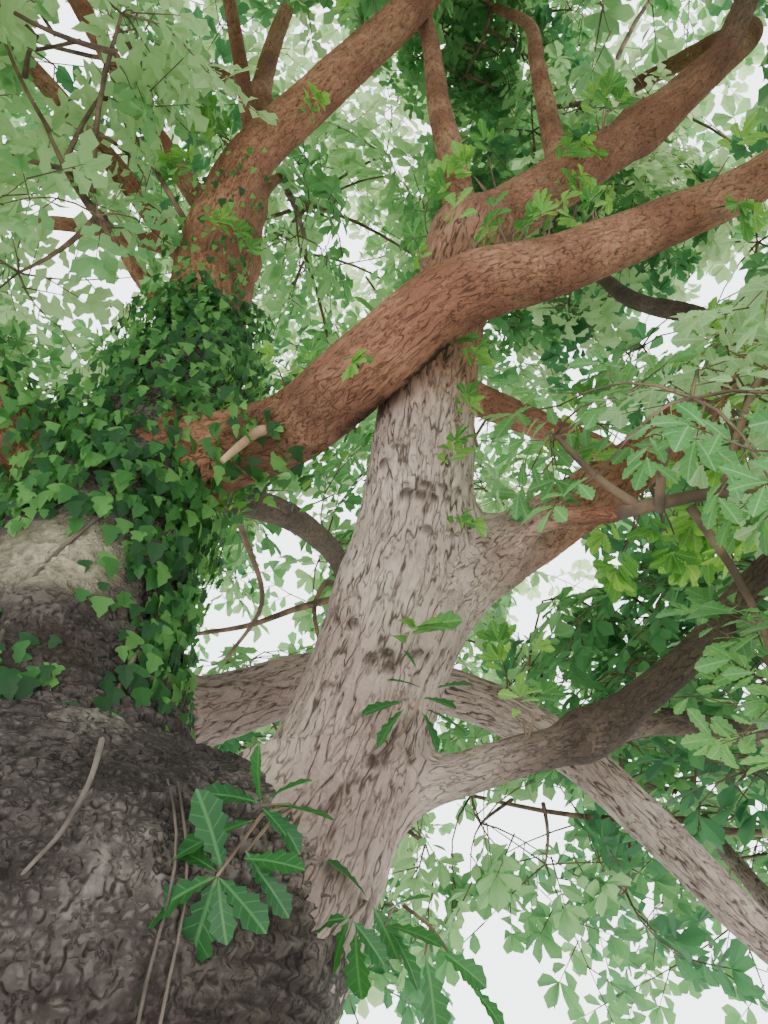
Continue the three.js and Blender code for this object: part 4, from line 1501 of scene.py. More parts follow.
@dataclass
class Skins:
    """The bark of the bole and of every limb, flowing into one another where they meet."""

    bole: Bole
    limbs: dict[str, Limb]
    blend: Pair = (0.04, 0.45)
    blend_most: float = 0.22
    blend_plain: float = 0.12
    look_round: float = 0.3
    passes: int = 5
    hidden: float = 0.012
    beside: float = 0.5
    least_relief: float = 0.3
    ease: Pair = (0.06, 0.05)
    tone_reach: float = 0.4

    def __post_init__(self) -> None:
        """Prepares the fields, the finishes and the pairs of limbs that meet."""
        self.fields: dict[str, Any] = {"bole": self.bole}
        self.pairs: dict[str, list[tuple[str, float]]] = {"bole": []}
        self.finishes: dict[str, tuple[Material, ShapeTree]] = {}
        least, share = self.blend
        for name, limb in self.limbs.items():
            self.fields[name] = LimbField(limb)
            wide = min(self.blend_most, least + share * limb.girth[0]) if limb.collar else self.blend_plain
            for parent in limb.parents:
                wide = CREASES.get((name, parent), wide)
                self.pairs.setdefault(name, []).append((parent, wide))
                self.pairs.setdefault(parent, []).append((name, wide))

    def build(self) -> None:
        """Makes and shows every skin."""
        for name, part in {"bole": self.bole, **self.limbs}.items():
            self._skin(name, part)

    def _distance(self, name: str, points: Array, reach: float) -> Array:
        """How far points lie outside a limb.

        Args:
            name: the limb.
            points: the points, as rows.
            reach: how far round the limb to look.

        Returns:
            The distances, without end where a point is further off than that.
        """
        low, high = self.fields[name].box()
        close = np.all((points > low - reach) & (points < high + reach), axis=1)
        gap = np.full(len(points), np.inf)
        gap[close] = self.fields[name].distance(points[close])
        return gap

    def _gaps(self, name: str, points: Array) -> list[Array]:
        """How far points lie outside each neighbour of a limb."""
        return [self._distance(other, points, wide + self.look_round) for other, wide in self.pairs[name]]

    def _flow(self, name: str, places: Array, way: Array) -> Array:
        """Moves a skin's points out to where it blends with its neighbours.

        Args:
            name: the limb.
            places: its skin's points.
            way: the way out at each.

        Returns:
            The moved points.
        """
        blends = [wide for _, wide in self.pairs[name]]
        near = np.min([gap - wide for gap, wide in zip(self._gaps(name, places), blends)], axis=0) < 0
        moving = np.flatnonzero(near)
        push = np.zeros(len(moving))
        for _ in range(self.passes):
            now = places[moving] + way[moving] * push[:, None]
            level = self.fields[name].distance(now)
            for gap, wide in zip(self._gaps(name, now), blends):
                part = np.maximum(wide - np.abs(level - gap), 0) / wide
                level = np.minimum(level, gap) - part * part * wide / 4
            push = np.clip(push - level, 0, 0.3 * max(blends))
        places = places.copy()
        places[moving] += way[moving] * push[:, None]
        return places

    def _skin(self, name: str, part: Bole | Limb) -> None:
        """Flows one skin into its neighbours, drops what lies inside them, and raises its bark.

        Args:
            name: the limb's name.
            part: the bole or the limb.
        """
        grid, out, grain = part.grid()
        rings, sides, _ = grid.shape
        way = out.reshape(-1, 3)
        places = self._flow(name, grid.reshape(-1, 3), way)
        near = np.min(self._gaps(name, places), axis=0)
        own = np.zeros(len(places))
        close = near < self.beside
        own[close] = self.fields[name].distance(places[close])
        lead = near - own
        index = np.arange(rings * sides).reshape(rings, sides)
        beside = np.roll(index, -1, 1)
        faces = np.stack([index[:-1], beside[:-1], beside[1:], index[1:]], -1).reshape(-1, 4)
        faces = faces[(lead > -3 * part.cell - self.hidden)[faces].all(1)]
        used = np.unique(faces)
        renumber = np.full(len(places), -1)
        renumber[used] = np.arange(len(used))
        places, way = places[used], way[used]
        marks, lift = self._marks(places)
        seam, foot = self.ease
        relief = mix(self.least_relief, 1.0, smooth(0.0, seam, lead[used]))
        marks["ease"] = relief * smooth(0.0, foot, places[:, 2])
        marks["grain"] = grain.reshape(-1, 3)[used]
        marks["tone"] = self._tone(name, part.bark, places)
        mesh = mesh_of(f"{name}_skin", places + way * lift[:, None], renumber[faces], marks=marks)
        if part.bark.name not in self.finishes:
            self.finishes[part.bark.name] = (part.bark.material(), part.bark.relief())
        material, tree = self.finishes[part.bark.name]
        mesh = tree.bake(f"{name}_bark", mesh, material)
        mesh.shade_smooth()
        show(f"{name}_bark", mesh, "bark_grey" if name in GREY_LIMBS else "bark_brown", [name])

    def _tone(self, name: str, bark: Bark, places: Array) -> Array:
        """How far the bark has the colour of the limb that it grows from.

        Args:
            name: the limb.
            bark: its bark.
            places: its skin's points.

        Returns:
            A share for each point.
        """
        x, height = places[:, 0], places[:, 2]
        if name == "right_stem":
            return 0.9 * smooth(3.4, 3.75, height)
        if name == "bole":
            return smooth(0.56, 0.76, x) * smooth(1.9, 2.15, height)
        if name == "crossing_bough" or bark.name in PLAIN_TONES:
            return np.zeros(len(places))
        gap = self._distance(TONE_SOURCES.get(name, "right_stem"), places, 0.5)
        high = 1.0 if name in TONE_SOURCES else 1 - smooth(3.7, 4.0, height)
        return (1 - smooth(0.02, self.tone_reach, gap)) * high

    @staticmethod
    def _marks(points: Array) -> tuple[dict[str, Array], Array]:
        """The marks on the bark.

        Args:
            points: the skin's points.

        Returns:
            How dark each point is, from knots and from painted shade, how pale it is, and how far it is
            raised.
        """
        dark, pale, lift = np.zeros(len(points)), np.zeros(len(points)), np.zeros(len(points))
        for mark in MARKS:
            off = np.linalg.norm(points - np.array(mark.place), axis=1) / mark.radius
            here = np.exp(-(off**4))
            dark = np.maximum(dark, mark.dark * here)
            pale = np.maximum(pale, mark.pale * here)
            lift += mark.out * here
        return {"dark": dark, "pale": pale}, lift


# Leaves and the sprigs that carry them.


@dataclass(frozen=True)
class LeafShape:
    """A leaf's outline: half widths at places along it, the leaf lying along +X and facing +Z."""

    stations: tuple[Pair, ...]
    fold: float = 0.3
    curl: float = 0.2
    straight: bool = False

    def _fan(self) -> tuple[Array, list[tuple[int, ...]]]:
        """The leaf's flat outline with one straight midrib, for a shape that all shows from its base."""
        sides = [(x, y) for x, y in self.stations if y]
        flat = [(0.0, 0.0), (1.0, 0.0)] + [(x, side * y) for side in (-1, 1) for x, y in sides]
        right = list(range(2, len(sides) + 2))
        left = [i + len(sides) for i in right]
        faces = [(0, a, b) for a, b in zip(right, [*right[1:], 1])]
        faces += [(0, b, a) for a, b in zip(left, [*left[1:], 1])]
        return np.array(flat), faces

    def _ladder(self) -> tuple[Array, list[tuple[int, ...]]]:
        """The leaf's flat outline with a midrib point at every station."""
        flat: list[Pair] = []
        faces: list[tuple[int, ...]] = []
        rows = []
        for x, y in self.stations:
            sides = (-1, 0, 1) if y else (0,)
            rows.append(list(range(len(flat), len(flat) + len(sides))))
            flat += [(x, side * y) for side in sides]
        for a, b in zip(rows, rows[1:]):
            if len(a) == 1:
                faces += [(a[0], b[0], b[1]), (a[0], b[1], b[2])]
            elif len(b) == 1:
                faces += [(a[0], b[0], a[1]), (a[1], b[0], a[2])]
            else:
                faces += [(a[0], b[0], b[1]), (a[0], b[1], a[1]), (a[1], b[1], b[2]), (a[1], b[2], a[2])]
        return np.array(flat), faces

    def parts(self) -> tuple[Array, list[tuple[int, ...]], Array]:
        """The leaf of unit length.

        Returns:
            Its points, its triangles, and each point's place along and across.
        """
        flat, faces = self._fan() if self.straight else self._ladder()
        x, y = flat.T
        lift = self.fold * np.abs(y) - self.curl * x * x
        return np.column_stack([flat, lift]), faces, np.column_stack([flat, np.zeros(len(flat))])

    def mesh(self, name: str) -> Mesh:
        """One leaf of unit length as a mesh."""
        points, faces, places = self.parts()
        return mesh_of(name, points, faces, marks={"leaf": places})


FAR_LEAF = LeafShape(((0.0, 0.0), (0.4, 0.21), (0.76, 0.28), (1.0, 0.0)), straight=True)
LOBED_LEAF = LeafShape(((0.0, 0.0), (0.3, 0.22), (0.46, 0.15), (0.72, 0.29), (1.0, 0.0)))
NEAR_LEAF = LeafShape(
    (
        (0.0, 0.0), (0.1, 0.03), (0.2, 0.11), (0.28, 0.08), (0.38, 0.18), (0.46, 0.13), (0.58, 0.24),
        (0.66, 0.18), (0.77, 0.24), (0.85, 0.16), (0.93, 0.12), (1.0, 0.0),
    ),
    fold=0.22,
)
IVY_LEAF = LeafShape(
    ((0.0, 0.0), (0.05, 0.3), (0.22, 0.48), (0.4, 0.27), (0.56, 0.32), (1.0, 0.0)), fold=0.12, curl=0.15
)


@dataclass(frozen=True)
class Sprig:
    """A short twig with leaves along it and a bunch at its end, of unit leaf length."""

    shape: LeafShape
    side_leaves: int
    end_leaves: int
    stalk: float
    seed: int = 5
    variants: int = 4
    arch: float = 0.12
    roll: float = 38
    pitch: Pair = (-34, 22)
    side_turn: Pair = (38, 75)
    end_turn: float = 78

    def _rise(self, along: float) -> float:
        """How far the sprig's twig arches up at a place along it."""
        return self.arch * math.sin(3.1 * along / self.stalk)

    def leaves(self, variant: int) -> Mesh:
        """One variant's leaves.

        Args:
            variant: its number.

        Returns:
            The leaves as a mesh.
        """
        random = Seeded(self.seed + 97 * variant)
        blank, faces, places = self.shape.parts()
        points, all_faces = [], []
        count = self.side_leaves + self.end_leaves
        for i in range(count):
            if i < self.side_leaves:
                at = self.stalk * mix(0.2, 0.85, (i + 0.6 * random()) / self.side_leaves)
                turn = mix(*self.side_turn, random())
                side = 1 if i % 2 else -1
                size = mix(0.7, 1.0, random())
            else:
                at = self.stalk * mix(0.9, 1.0, random())
                share = (i - self.side_leaves + 0.15 + 0.7 * random()) / self.end_leaves
                turn = mix(-self.end_turn, self.end_turn, share)
                side = 1
                size = mix(0.8, 1.15, random())
            leaf = tipped(blank * size, 1, 2, mix(-self.roll, self.roll, random()))
            leaf = tipped(leaf, 0, 2, mix(*self.pitch, random()))
            leaf = tipped(leaf, 0, 1, turn * side)
            all_faces += [tuple(n + i * len(blank) for n in face) for face in faces]
            points.append(leaf + np.array([at, 0, self._rise(at)]))
        marks = {"leaf": np.vstack([places] * count)}
        return mesh_of("sprig_leaves", np.vstack(points), all_faces, marks=marks)

    def wood(self) -> Mesh:
        """The sprig's own twig, three-sided."""
        ring = [(math.cos(a), math.sin(a)) for a in (0.5, 2.6, 4.7)]
        points = []
        for x, r in ((-0.1, 0.035), (self.stalk, 0.015)):
            points += [(x, r * c, r * s + self._rise(max(x, 0))) for c, s in ring]
        faces = [(j, (j + 1) % 3, (j + 1) % 3 + 3, j + 3) for j in range(3)]
        return mesh_of("sprig_wood", np.array(points), faces)


def euler_of(x: Array, z: Array) -> Array:
    """The turns about X, Y and Z that bring +X and +Z to given directions, row by row."""
    x = unit(x)
    z = unit(z - x * np.sum(x * z, -1, keepdims=True))
    y = np.cross(z, x)
    pitch = np.arcsin(np.clip(-x[:, 2], -1, 1))
    return np.stack([np.arctan2(y[:, 2], z[:, 2]), pitch, np.arctan2(x[:, 1], x[:, 0])], -1)


class Scatter:
    """Places copies of small meshes at marked points, by one shape tree."""

    def __init__(self, name: str, variants: Sequence[Mesh]) -> None:
        """Builds the tree over the variants."""
        self.things = [plain_object(f"{name}_{i}", mesh) for i, mesh in enumerate(variants)]
        tree = ShapeTree(name, {"Size": 1.0})
        info = "GeometryNodeObjectInfo"
        parts = [tree.node(info, {}, {"Object": thing}, "Geometry") for thing in self.things]
        sockets = {
            "Points": tree.wires["Shape"],
            "Instance": tree.node("GeometryNodeGeometryToInstance", {}, {0: parts}),
            "Pick Instance": True,
            "Instance Index": tree.attribute("kind", "INT"),
            "Rotation": tree.attribute("turn", "FLOAT_VECTOR"),
            "Scale": tree.attribute("size") * tree.wires["Size"],
        }
        tree.finish(tree.node("GeometryNodeInstanceOnPoints", {}, sockets))
        self.tree = tree

    def make(self, name: str, rows: Sequence[Row], material: Material) -> Mesh:
        """The copies as one plain mesh.

        Args:
            name: the mesh's name.
            rows: for each copy its place, its way along, the way that it faces, and its size.
            material: what it is made of.

        Returns:
            The mesh.
        """
        places, ways, faces, sizes = (np.array(column) for column in zip(*rows))
        kinds = (np.arange(len(places)) * 7 % len(self.things)).astype(np.int32)
        marks = {"turn": euler_of(ways, faces), "size": sizes, "kind": kinds}
        return self.tree.bake(name, mesh_of(f"{name}_points", places, [], marks=marks), material)

    def close(self) -> None:
        """Removes the variants."""
        for thing in self.things:
            bpy.data.objects.remove(thing)


class TwigNet:
    """Twigs as round tapering tubes along lines, by one shape tree."""

    def __init__(self) -> None:
        """Builds the tree."""
        tree = ShapeTree("twig_net", {"Sides": 6})
        ring = {"Resolution": tree.wires["Sides"], "Radius": 1.0}
        sockets = {
            "Curve": tree.node("GeometryNodeMeshToCurve", {}, {0: tree.wires["Shape"]}),
            "Profile Curve": tree.node("GeometryNodeCurvePrimitiveCircle", {}, ring),
            "Scale": tree.attribute("thick"),
            "Fill Caps": True,
        }
        tree.finish(tree.node("GeometryNodeCurveToMesh", {}, sockets))
        self.tree = tree

    def make(self, name: str, lines: Sequence[Line], sides: int, material: Material) -> Mesh:
        """Tubes along lines.

        Args:
            name: the mesh's name.
            lines: for each twig, its points and the radius at each.
            sides: sides of each tube.
            material: what it is made of.

        Returns:
            The mesh.
        """
        points = np.vstack([p for p, _ in lines])
        marks = {"thick": np.concatenate([r for _, r in lines])}
        edges, start = [], 0
        for p, _ in lines:
            edges += [(start + i, start + i + 1) for i in range(len(p) - 1)]
            start += len(p)
        mesh = mesh_of(f"{name}_lines", points, [], edges, marks)
        made = self.tree.bake(name, mesh, material, {"Sides": sides})
        made.shade_smooth()
        return made


LOOKOUT = np.array([0.85, -2.05, 1.5])
OPENINGS = (
    (138.0, 64.8, 4.2), (63.9, 69.3, 1.6), (58.0, 71.5, 1.1), (71.0, 70.0, 0.9), (79.0, 71.7, 1.1),
    (137.4, 61.8, 1.4), (126.7, 70.3, 1.2), (69.6, 73.1, 1.0), (48.0, 68.7, 1.9), (46.6, 65.8, 1.2),
    (83.1, 67.4, 1.3), (103.5, 62.1, 1.2), (98.2, 60.7, 1.5), (94.5, 59.0, 0.9), (128.7, 56.5, 2.3),
    (128.1, 53.9, 2.1), (53.7, 51.7, 2.2), (59.0, 50.2, 3.0), (69.9, 47.8, 1.9), (69.2, 45.6, 1.4),
    (81.7, 47.9, 1.3), (94.7, 41.3, 1.7), (98.4, 38.6, 3.1), (96.4, 36.6, 2.3), (105.2, 34.8, 2.6),
    (104.7, 38.7, 1.1), (75.0, 38.3, 1.1), (77.6, 33.7, 2.1), (70.3, 33.5, 1.4), (105.0, 23.4, 1.5),
    (100.1, 25.5, 1.1), (85.8, 23.7, 2.8), (85.3, 20.3, 2.9), (81.4, 20.6, 2.4), (77.6, 20.8, 2.4),
    (68.8, 21.7, 1.1), (65.6, 18.6, 1.7), (73.4, 15.2, 1.2), (70.0, 13.1, 1.0), (83.9, 12.7, 1.2),
    (92.0, 10.4, 1.5),
)


class Openings:
    """The crown's gaps that show sky from beside the bole, as cones of azimuth, elevation and half width."""

    def __init__(self) -> None:
        """Works out the cones' directions."""
        azimuth, elevation, half = np.radians(np.array(OPENINGS)).T
        flat = np.cos(elevation)
        self.ways = np.stack([flat * np.cos(azimuth), flat * np.sin(azimuth), np.sin(elevation)], -1)
        self.half = half

    def hold(self, point: Array, share: float) -> bool:
        """Whether a point is in an opening, the openings being widened by a share."""
        along = self.ways @ unit(point - LOOKOUT)
        return bool(np.any(along > np.cos(self.half * share)))


@dataclass
class Foliage:
    """The leafy masses: twigs from each bough's tip, arms in each spray, and sprigs of leaves along them."""

    crown: Crown
    leaf: float = 0.19
    inner_leaf: float = 0.145
    near_leaf: float = 0.088
    spacing: float = 0.16
    fine_twigs: int = 12
    fine_by_mass: dict[str, int] = field(
        default_factory=lambda: {"skirt_2": 20, "skirt_3": 22, "skirt_4": 20, "inner_left": 7}
    )
    # Extra paleness by mass, painted sunlight on near masses seen from below.
    painted_sun_by_mass: dict[str, float] = field(
        default_factory=lambda: {"inner_left": 0.4, "shoulder_7": 0.3, "skirt_8": 0.2}
    )
    # Near leaves above this height and beyond this x take the pale finish as painted sunlight.
    painted_sun_x: float = 1.55
    painted_sun_height: float = 2.95
    arm_girth: float = 0.011
    arm_tip: float = 0.004
    arm_stops: int = 5
    stem_stops: int = 7
    stem_tip: float = 0.009
    sprig_length: float = 2.7
    margin: float = 0.3
    openings: Openings = field(default_factory=Openings)

    def plan(self, masses: dict[str, Mass], limbs: dict[str, Limb]) -> None:
        """Grows every mass by the source's rule, then by finer twigs.

        Args:
            masses: every mass by name.
            limbs: every limb by name.
        """
        keep_off = KeepOff(limbs.values())
        self.twigs: list[Twig] = []
        self.sprays: list[Spray] = []
        for limb in limbs.values():
            if limb.leads:
                mass = masses[limb.leads]
                twigs, sprays = self.crown.grow(mass, limb, keep_off)
                most = self.fine_by_mass.get(mass.name, self.fine_twigs)
                self.crown.fill(mass, keep_off, twigs, sprays, most)
                self.twigs += twigs
                self.sprays += sprays
        random = Seeded(31)
        tints = list(Tint)
        for spray in self.sprays:
            # Paler tints are painted sunlight: they go more to high sprays and to the masses in
            # painted_sun_by_mass, on top of a random share.
            high = rise(spray.centre[2], 3, 10)
            roll = random() * 0.75 + high * 0.3 + self.painted_sun_by_mass.get(spray.mass, 0.0)
            spray.tint = tints[min(len(tints) - 1, int(roll * len(tints)))]
        log.info("plan: %d twigs, %d sprays", len(self.twigs), len(self.sprays))

    def _arms(self, spray: Spray) -> list[Line]:
        """The arms of a spray.

        Args:
            spray: the spray.

        Returns:
            For each arm, its points and the radius at each.
        """
        lines = []
        share = np.linspace(0, 1, self.arm_stops)
        for k, length in enumerate(spray.lengths):
            arch = 0.1 * np.sin(math.pi * share) * length
            way = turned(spray.level, spray.facing, FULL_TURN / len(spray.lengths) * k)
            points = spray.centre + np.outer(share * length, way)
            points = points + np.outer(arch - spray.droop * length * share**1.6, spray.facing)
            if not self.openings.hold(points[3], 0.6):
                lines.append((points, mix(self.arm_girth, self.arm_tip, share) * (spray.size / 1.3) ** 0.5))
        return lines

    def _sprigs(self, spray: Spray, random: Seeded, leaf: float) -> Iterator[Row]:
        """Where the sprigs of a spray go.

        Args:
            spray: the spray.
            random: the tier's random numbers.
            leaf: the length of a leaf.

        Yields:
            Each sprig's place, its way along, the way that it faces, and its size.
        """
        low, high = np.array(CAD_BOX[0]) - self.margin, np.array(CAD_BOX[1]) + self.margin
        spacing = self.spacing * (leaf / self.leaf) ** 0.7
        for points, _ in self._arms(spray):
            arm = unit(points[-1] - points[0])
            count = max(2, int(float(np.linalg.norm(points[-1] - points[0])) / spacing))
            for i in range(count + 1):
                share = (i + 0.6) / (count + 0.6)
                stops = np.linspace(0, 1, self.arm_stops)
                at = np.array([np.interp(share, stops, points[:, axis]) for axis in range(3)])
                turn = 0.0 if i == count else math.radians(mix(30, 70, random())) * (1 if i % 2 else -1)
                way = turned(arm, spray.facing, turn) + spray.facing * mix(-0.4, 0.45, random())
                jog = random.jog()
                size = leaf * mix(0.85, 1.15, random())
                way = unit(way)
                tip = at + way * self.sprig_length * size
                outside = np.any(tip < low) or np.any(tip > high)
                if not outside and not self.openings.hold(at + way * size, mix(0.3, 1.1, random())):
                    yield at, way, spray.facing + 0.5 * UP + 0.6 * jog, size

    def _stem(self, twig: Twig) -> Line:
        """A twig as a gently bent line with its radius."""
        share = np.linspace(0, 1, self.stem_stops)
        way = twig.end - twig.start
        side = unit(np.cross(way, [0.3, 0.5, 1.0]))
        bend = np.sin(math.pi * share) * 0.05 * float(np.linalg.norm(way))
        points = twig.start + np.outer(share, way) + np.outer(bend, side)
        return points, mix(twig.thick * 1.15, max(twig.thin * 0.7, self.stem_tip), share**0.8)

    def _by_place(self, rows: list[Row]) -> dict[str, list[Row]]:
        """The near sprigs, with the high ones at the side, whose pale finish paints sunlight, apart from the
        rest.
        """
        parts: dict[str, list[Row]] = {"lobed": [], "pale": []}
        for row in rows:
            painted_sunlit = row[0][2] > self.painted_sun_height and row[0][0] > self.painted_sun_x
            parts["pale" if painted_sunlit else "lobed"].append(row)
        return parts

    def build(self, net: TwigNet, wood: Material) -> None:
        """Makes and shows the masses, tier by tier.

        Args:
            net: what makes the twigs.
            wood: what the twigs are made of.
        """
        kinds = {
            "far": (Sprig(FAR_LEAF, 3, 4, 1.7), self.leaf),
            "inner": (Sprig(LOBED_LEAF, 4, 4, 1.8, seed=8), self.inner_leaf),
            "near": (Sprig(NEAR_LEAF, 3, 4, 1.7, seed=11), self.near_leaf),
        }
        leafage = {
            kind: Scatter(f"{kind}_sprig", [sprig.leaves(v) for v in range(sprig.variants)])
            for kind, (sprig, _) in kinds.items()
        }
        stalks = Scatter("sprig_wood", [kinds["far"][0].wood()])
        finishes = {tint.name.lower(): tint.value for tint in Tint} | NEAR_FINISHES
        materials = {label: finish.material() for label, finish in finishes.items()}
        for tier in (*TIERS, "inner", "near"):
            group = [spray for spray in self.sprays if spray.mass.startswith(tier)]
            nodes = [f"leaves_{mass}" for mass in sorted({spray.mass for spray in group})]
            random = Seeded(len(tier) * 13)
            kind = tier if tier in kinds else "far"
            parts: dict[str, list[Row]] = {tint.name.lower(): [] for tint in Tint}
            for spray in group:
                parts[spray.tint.name.lower()] += self._sprigs(spray, random, kinds[kind][1])
            everything = [row for part in parts.values() for row in part]
            for label, part in (self._by_place(everything) if kind == "near" else parts).items():
                if part:
                    mesh = leafage[kind].make(f"{tier}_{label}", part, materials[label])
                    show(f"{tier}_{label}_leaves", mesh, "leaves", nodes)
            lines = [line for spray in group for line in self._arms(spray)]
            stems = [self._stem(twig) for twig in self.twigs if twig.mass.startswith(tier)]
            meshes = [
                net.make(f"{tier}_arms", lines, 3, wood),
                net.make(f"{tier}_stems", stems, 6, wood),
                stalks.make(f"{tier}_stalks", everything, wood),
            ]
            show(f"{tier}_twigs", joined(f"{tier}_twigs", meshes), "bark_brown", nodes)
        for scatter in (*leafage.values(), stalks):
            scatter.close()


def joined(name: str, meshes: Sequence[Mesh]) -> Mesh:
    """Several meshes of one material as one.

    Args:
        name: the name of the whole.
        meshes: the meshes.

    Returns:
        The whole.
    """
    points, faces, start = [], [], 0
    for mesh in meshes:
        place = np.empty(len(mesh.vertices) * 3)
        mesh.vertices.foreach_get("co", place)
        points.append(place.reshape(-1, 3))
        faces += [tuple(v + start for v in p.vertices) for p in mesh.polygons]
        start += len(mesh.vertices)
    made = bpy.data.meshes.new(name)
    made.from_pydata(np.vstack(points).tolist(), [], faces)
    made.materials.append(meshes[0].materials[0])
    made.shade_smooth()
    return made


@dataclass(frozen=True)
class Climb:
    """How the ivy spreads onto a limb: over what share of it, and with how many leaves."""

    limb: str
    share: float
    leaves: int


@dataclass
class Ivy:
    """The climber: vines up the bole and the left stem, and leaves that face out. Angles are in degrees."""

    leaf: float = 0.066
    count: int = 4600
    low: float = 2.3
    high: float = 5.0
    angles: Pair = (-215, 65)
    thickness: float = 0.17
    thin_share: float = 0.25
    thick_from: float = 2.6
    thick_over: float = 1.2
    climbs: tuple[Climb, ...] = (
        Climb("overhead_bough", 0.26, 380),
        Climb("left_leader", 0.12, 160),
        Climb("crossing_bough", 0.14, 420),
        Climb("front_left_bough", 0.5, 700),
        Climb("skirt_bough_7", 0.35, 800),
        Climb("skirt_bough_6", 0.3, 160),
    )
    patches: tuple[tuple[float, ...], ...] = ((-75, 13, 2.48, 0.11, 1.0), (-46, 13, 2.43, 0.08, 0.8))
    vines: tuple[float, ...] = (-112, -80, -45, -150, -20)
    vine_heights: Pair = (2.25, 4.7)
    vine_stops: int = 40
    vine_girth: Pair = (0.009, 0.004)
    foot_vines: tuple[float, ...] = (-55.5, -51.0)
    foot_heights: Pair = (0.05, 2.22)
    foot_stops: int = 34

    def build(self, limbs: dict[str, Limb], bole: Bole, net: TwigNet) -> None:
        """Makes and shows the ivy.

        Args:
            limbs: every limb by name.
            bole: the bole.
            net: what makes the vines.
        """
        random = Seeded(404)
        stem = Stations(limbs["left_stem"], 400)
        rows = self._on_stem(stem, random)
        for climb in self.climbs:
            rows += self._on_limb(limbs[climb.limb], climb, random)
        scatter = Scatter("ivy_leaves", [IVY_LEAF.mesh("ivy_leaf")])
        for i, (age, tint) in enumerate(IVY_TINTS.items()):
            mesh = scatter.make(f"ivy_{age}", rows[i :: len(IVY_TINTS)], tint.material())
            show(f"ivy_{age}_leaves", mesh, "ivy", ["ivy"])
        scatter.close()
        lines = [self._vine(stem, start, seed) for seed, start in enumerate(self.vines)]
        lines += [self._foot(bole, start, seed) for seed, start in enumerate(self.foot_vines)]
        show("ivy_vines", net.make("ivy_vines", lines, 6, VINE_BARK.material()), "bark_brown", ["ivy"])

    def _leaf(self, place: Array, out: Array, random: Seeded) -> Row:
        """One leaf at a place, hanging and facing out."""
        hang = np.array([random() - 0.5, random() - 0.5, -0.9 - 0.5 * random()])
        jog = random.jog()
        size = self.leaf * mix(0.5, 1.3, random()) * (1 - 0.11 * (place[2] - 2.4))
        return place, hang - out * (hang @ out) * 0.8, out + 0.35 * UP + 1.1 * jog, size

    def _on_stem(self, stem: Stations, random: Seeded) -> list[Row]:
        """The leaves on the stem.

        Args:
            stem: stations along the stem.
            random: the ivy's random numbers.

        Returns:
            A row for each leaf.
        """
        rows: list[Row] = []
        while len(rows) < self.count:
            height = mix(self.low, self.high, random())
            angle = mix(*self.angles, random())
            if random() > self._cover(height, angle):
                continue
            middle, radius = stem.at_height(height)
            out = np.array([math.cos(math.radians(angle)), math.sin(math.radians(angle)), 0.0])
            thick = self.thickness * max(self.thin_share, rise(height, self.thick_from, self.thick_over))
            rows.append(self._leaf(middle + out * (radius + 0.015 + thick * random() ** 1.5), out, random))
        return rows

    def _on_limb(self, limb: Limb, climb: Climb, random: Seeded) -> list[Row]:
        """The leaves on the foot of a limb, thinner towards the end of their reach.

        Args:
            limb: the limb.
            climb: how the ivy spreads onto it.
            random: the ivy's random numbers.

        Returns:
            A row for each leaf.
        """
        line = limb.line()
        rows = []
        for _ in range(climb.leaves):
            share = climb.share * random() ** 1.4
            ahead = line.heading(share)
            side = unit(np.cross(ahead, [0.3, 0.1, -1.0]))
            out = turned(side, ahead, FULL_TURN * random())
            radius = float(limb.radius(share, line.length))
            place = line.at(share) + out * (radius + mix(0.02, 0.16, random() ** 1.5))
            rows.append(self._leaf(place, out, random))
        return rows

    def _cover(self, height: float, angle: float) -> float:
        """How thickly the ivy grows at a height and an angle on the stem.

        Args:
            height: the height.
            angle: the angle from +X, in degrees.

        Returns:
            A share from 0 to 1.
        """
        wave = math.sin(2.3 * height + 0.06 * angle)
        patch = 0.5 + 0.5 * wave * math.cos(3.7 * height - 0.045 * angle + 1.3)
        dense = rise(height, 3.02, 0.35) * (0.45 + 0.55 * patch)
        strip = 0.9 * math.exp(-(((angle + 20) / 24) ** 2)) * rise(height, 2.45, 0.25)
        small = [
            thick * math.exp(-(((angle - at) / wide) ** 2) - ((height - level) / tall) ** 2)
            for at, wide, level, tall, thick in self.patches
        ]
        return max(dense, strip, *small, 0.05)

    def _vine(self, stem: Stations, start: float, seed: int) -> Line:
        """One vine up the stem's bark.

        Args:
            stem: stations along the stem.
            start: the angle that it sways about.
            seed: where in its sway it starts.

        Returns:
            Its points and the radius at each.
        """
        heights = np.linspace(*self.vine_heights, self.vine_stops)
        points, radii = [], []
        for i, height in enumerate(heights):
            middle, radius = stem.at_height(height)
            sway = start + 16 * math.sin(1.9 * height + seed) + 7 * math.sin(5.3 * height + 2 * seed)
            out = np.array([math.cos(math.radians(sway)), math.sin(math.radians(sway)), 0.0])
            points.append(middle + out * (radius + 0.008))
            radii.append(self.vine_girth[0] - self.vine_girth[1] * i / len(heights))
        return np.array(points), np.array(radii)

    def _foot(self, bole: Bole, start: float, seed: int) -> Line:
        """One thin vine up the bole's bark."""
        heights = np.linspace(*self.foot_heights, self.foot_stops)
        sway = 1.3 * np.sin(4.1 * heights + 2 * seed) + 0.7 * np.sin(13.0 * heights + seed)
        angle = np.radians(start + sway + 2 * (2.2 - heights))
        out = np.stack([np.cos(angle), np.sin(angle)], -1)
        flat = bole.axis(heights) + out * (bole.radius(heights, angle) + 0.014)[:, None]
        return np.column_stack([flat, heights]), np.linspace(0.0052 - 0.0008 * seed, 0.003, len(heights))


@dataclass(frozen=True)
class Tuft:
    """Leafy shoots that break from a limb's bark near a point, and the way that they grow."""

    near: Place
    way: Place
    sprigs: int = 4
    leaf: float = 0.08
    stalk: float = 0.1
    bright: bool = False


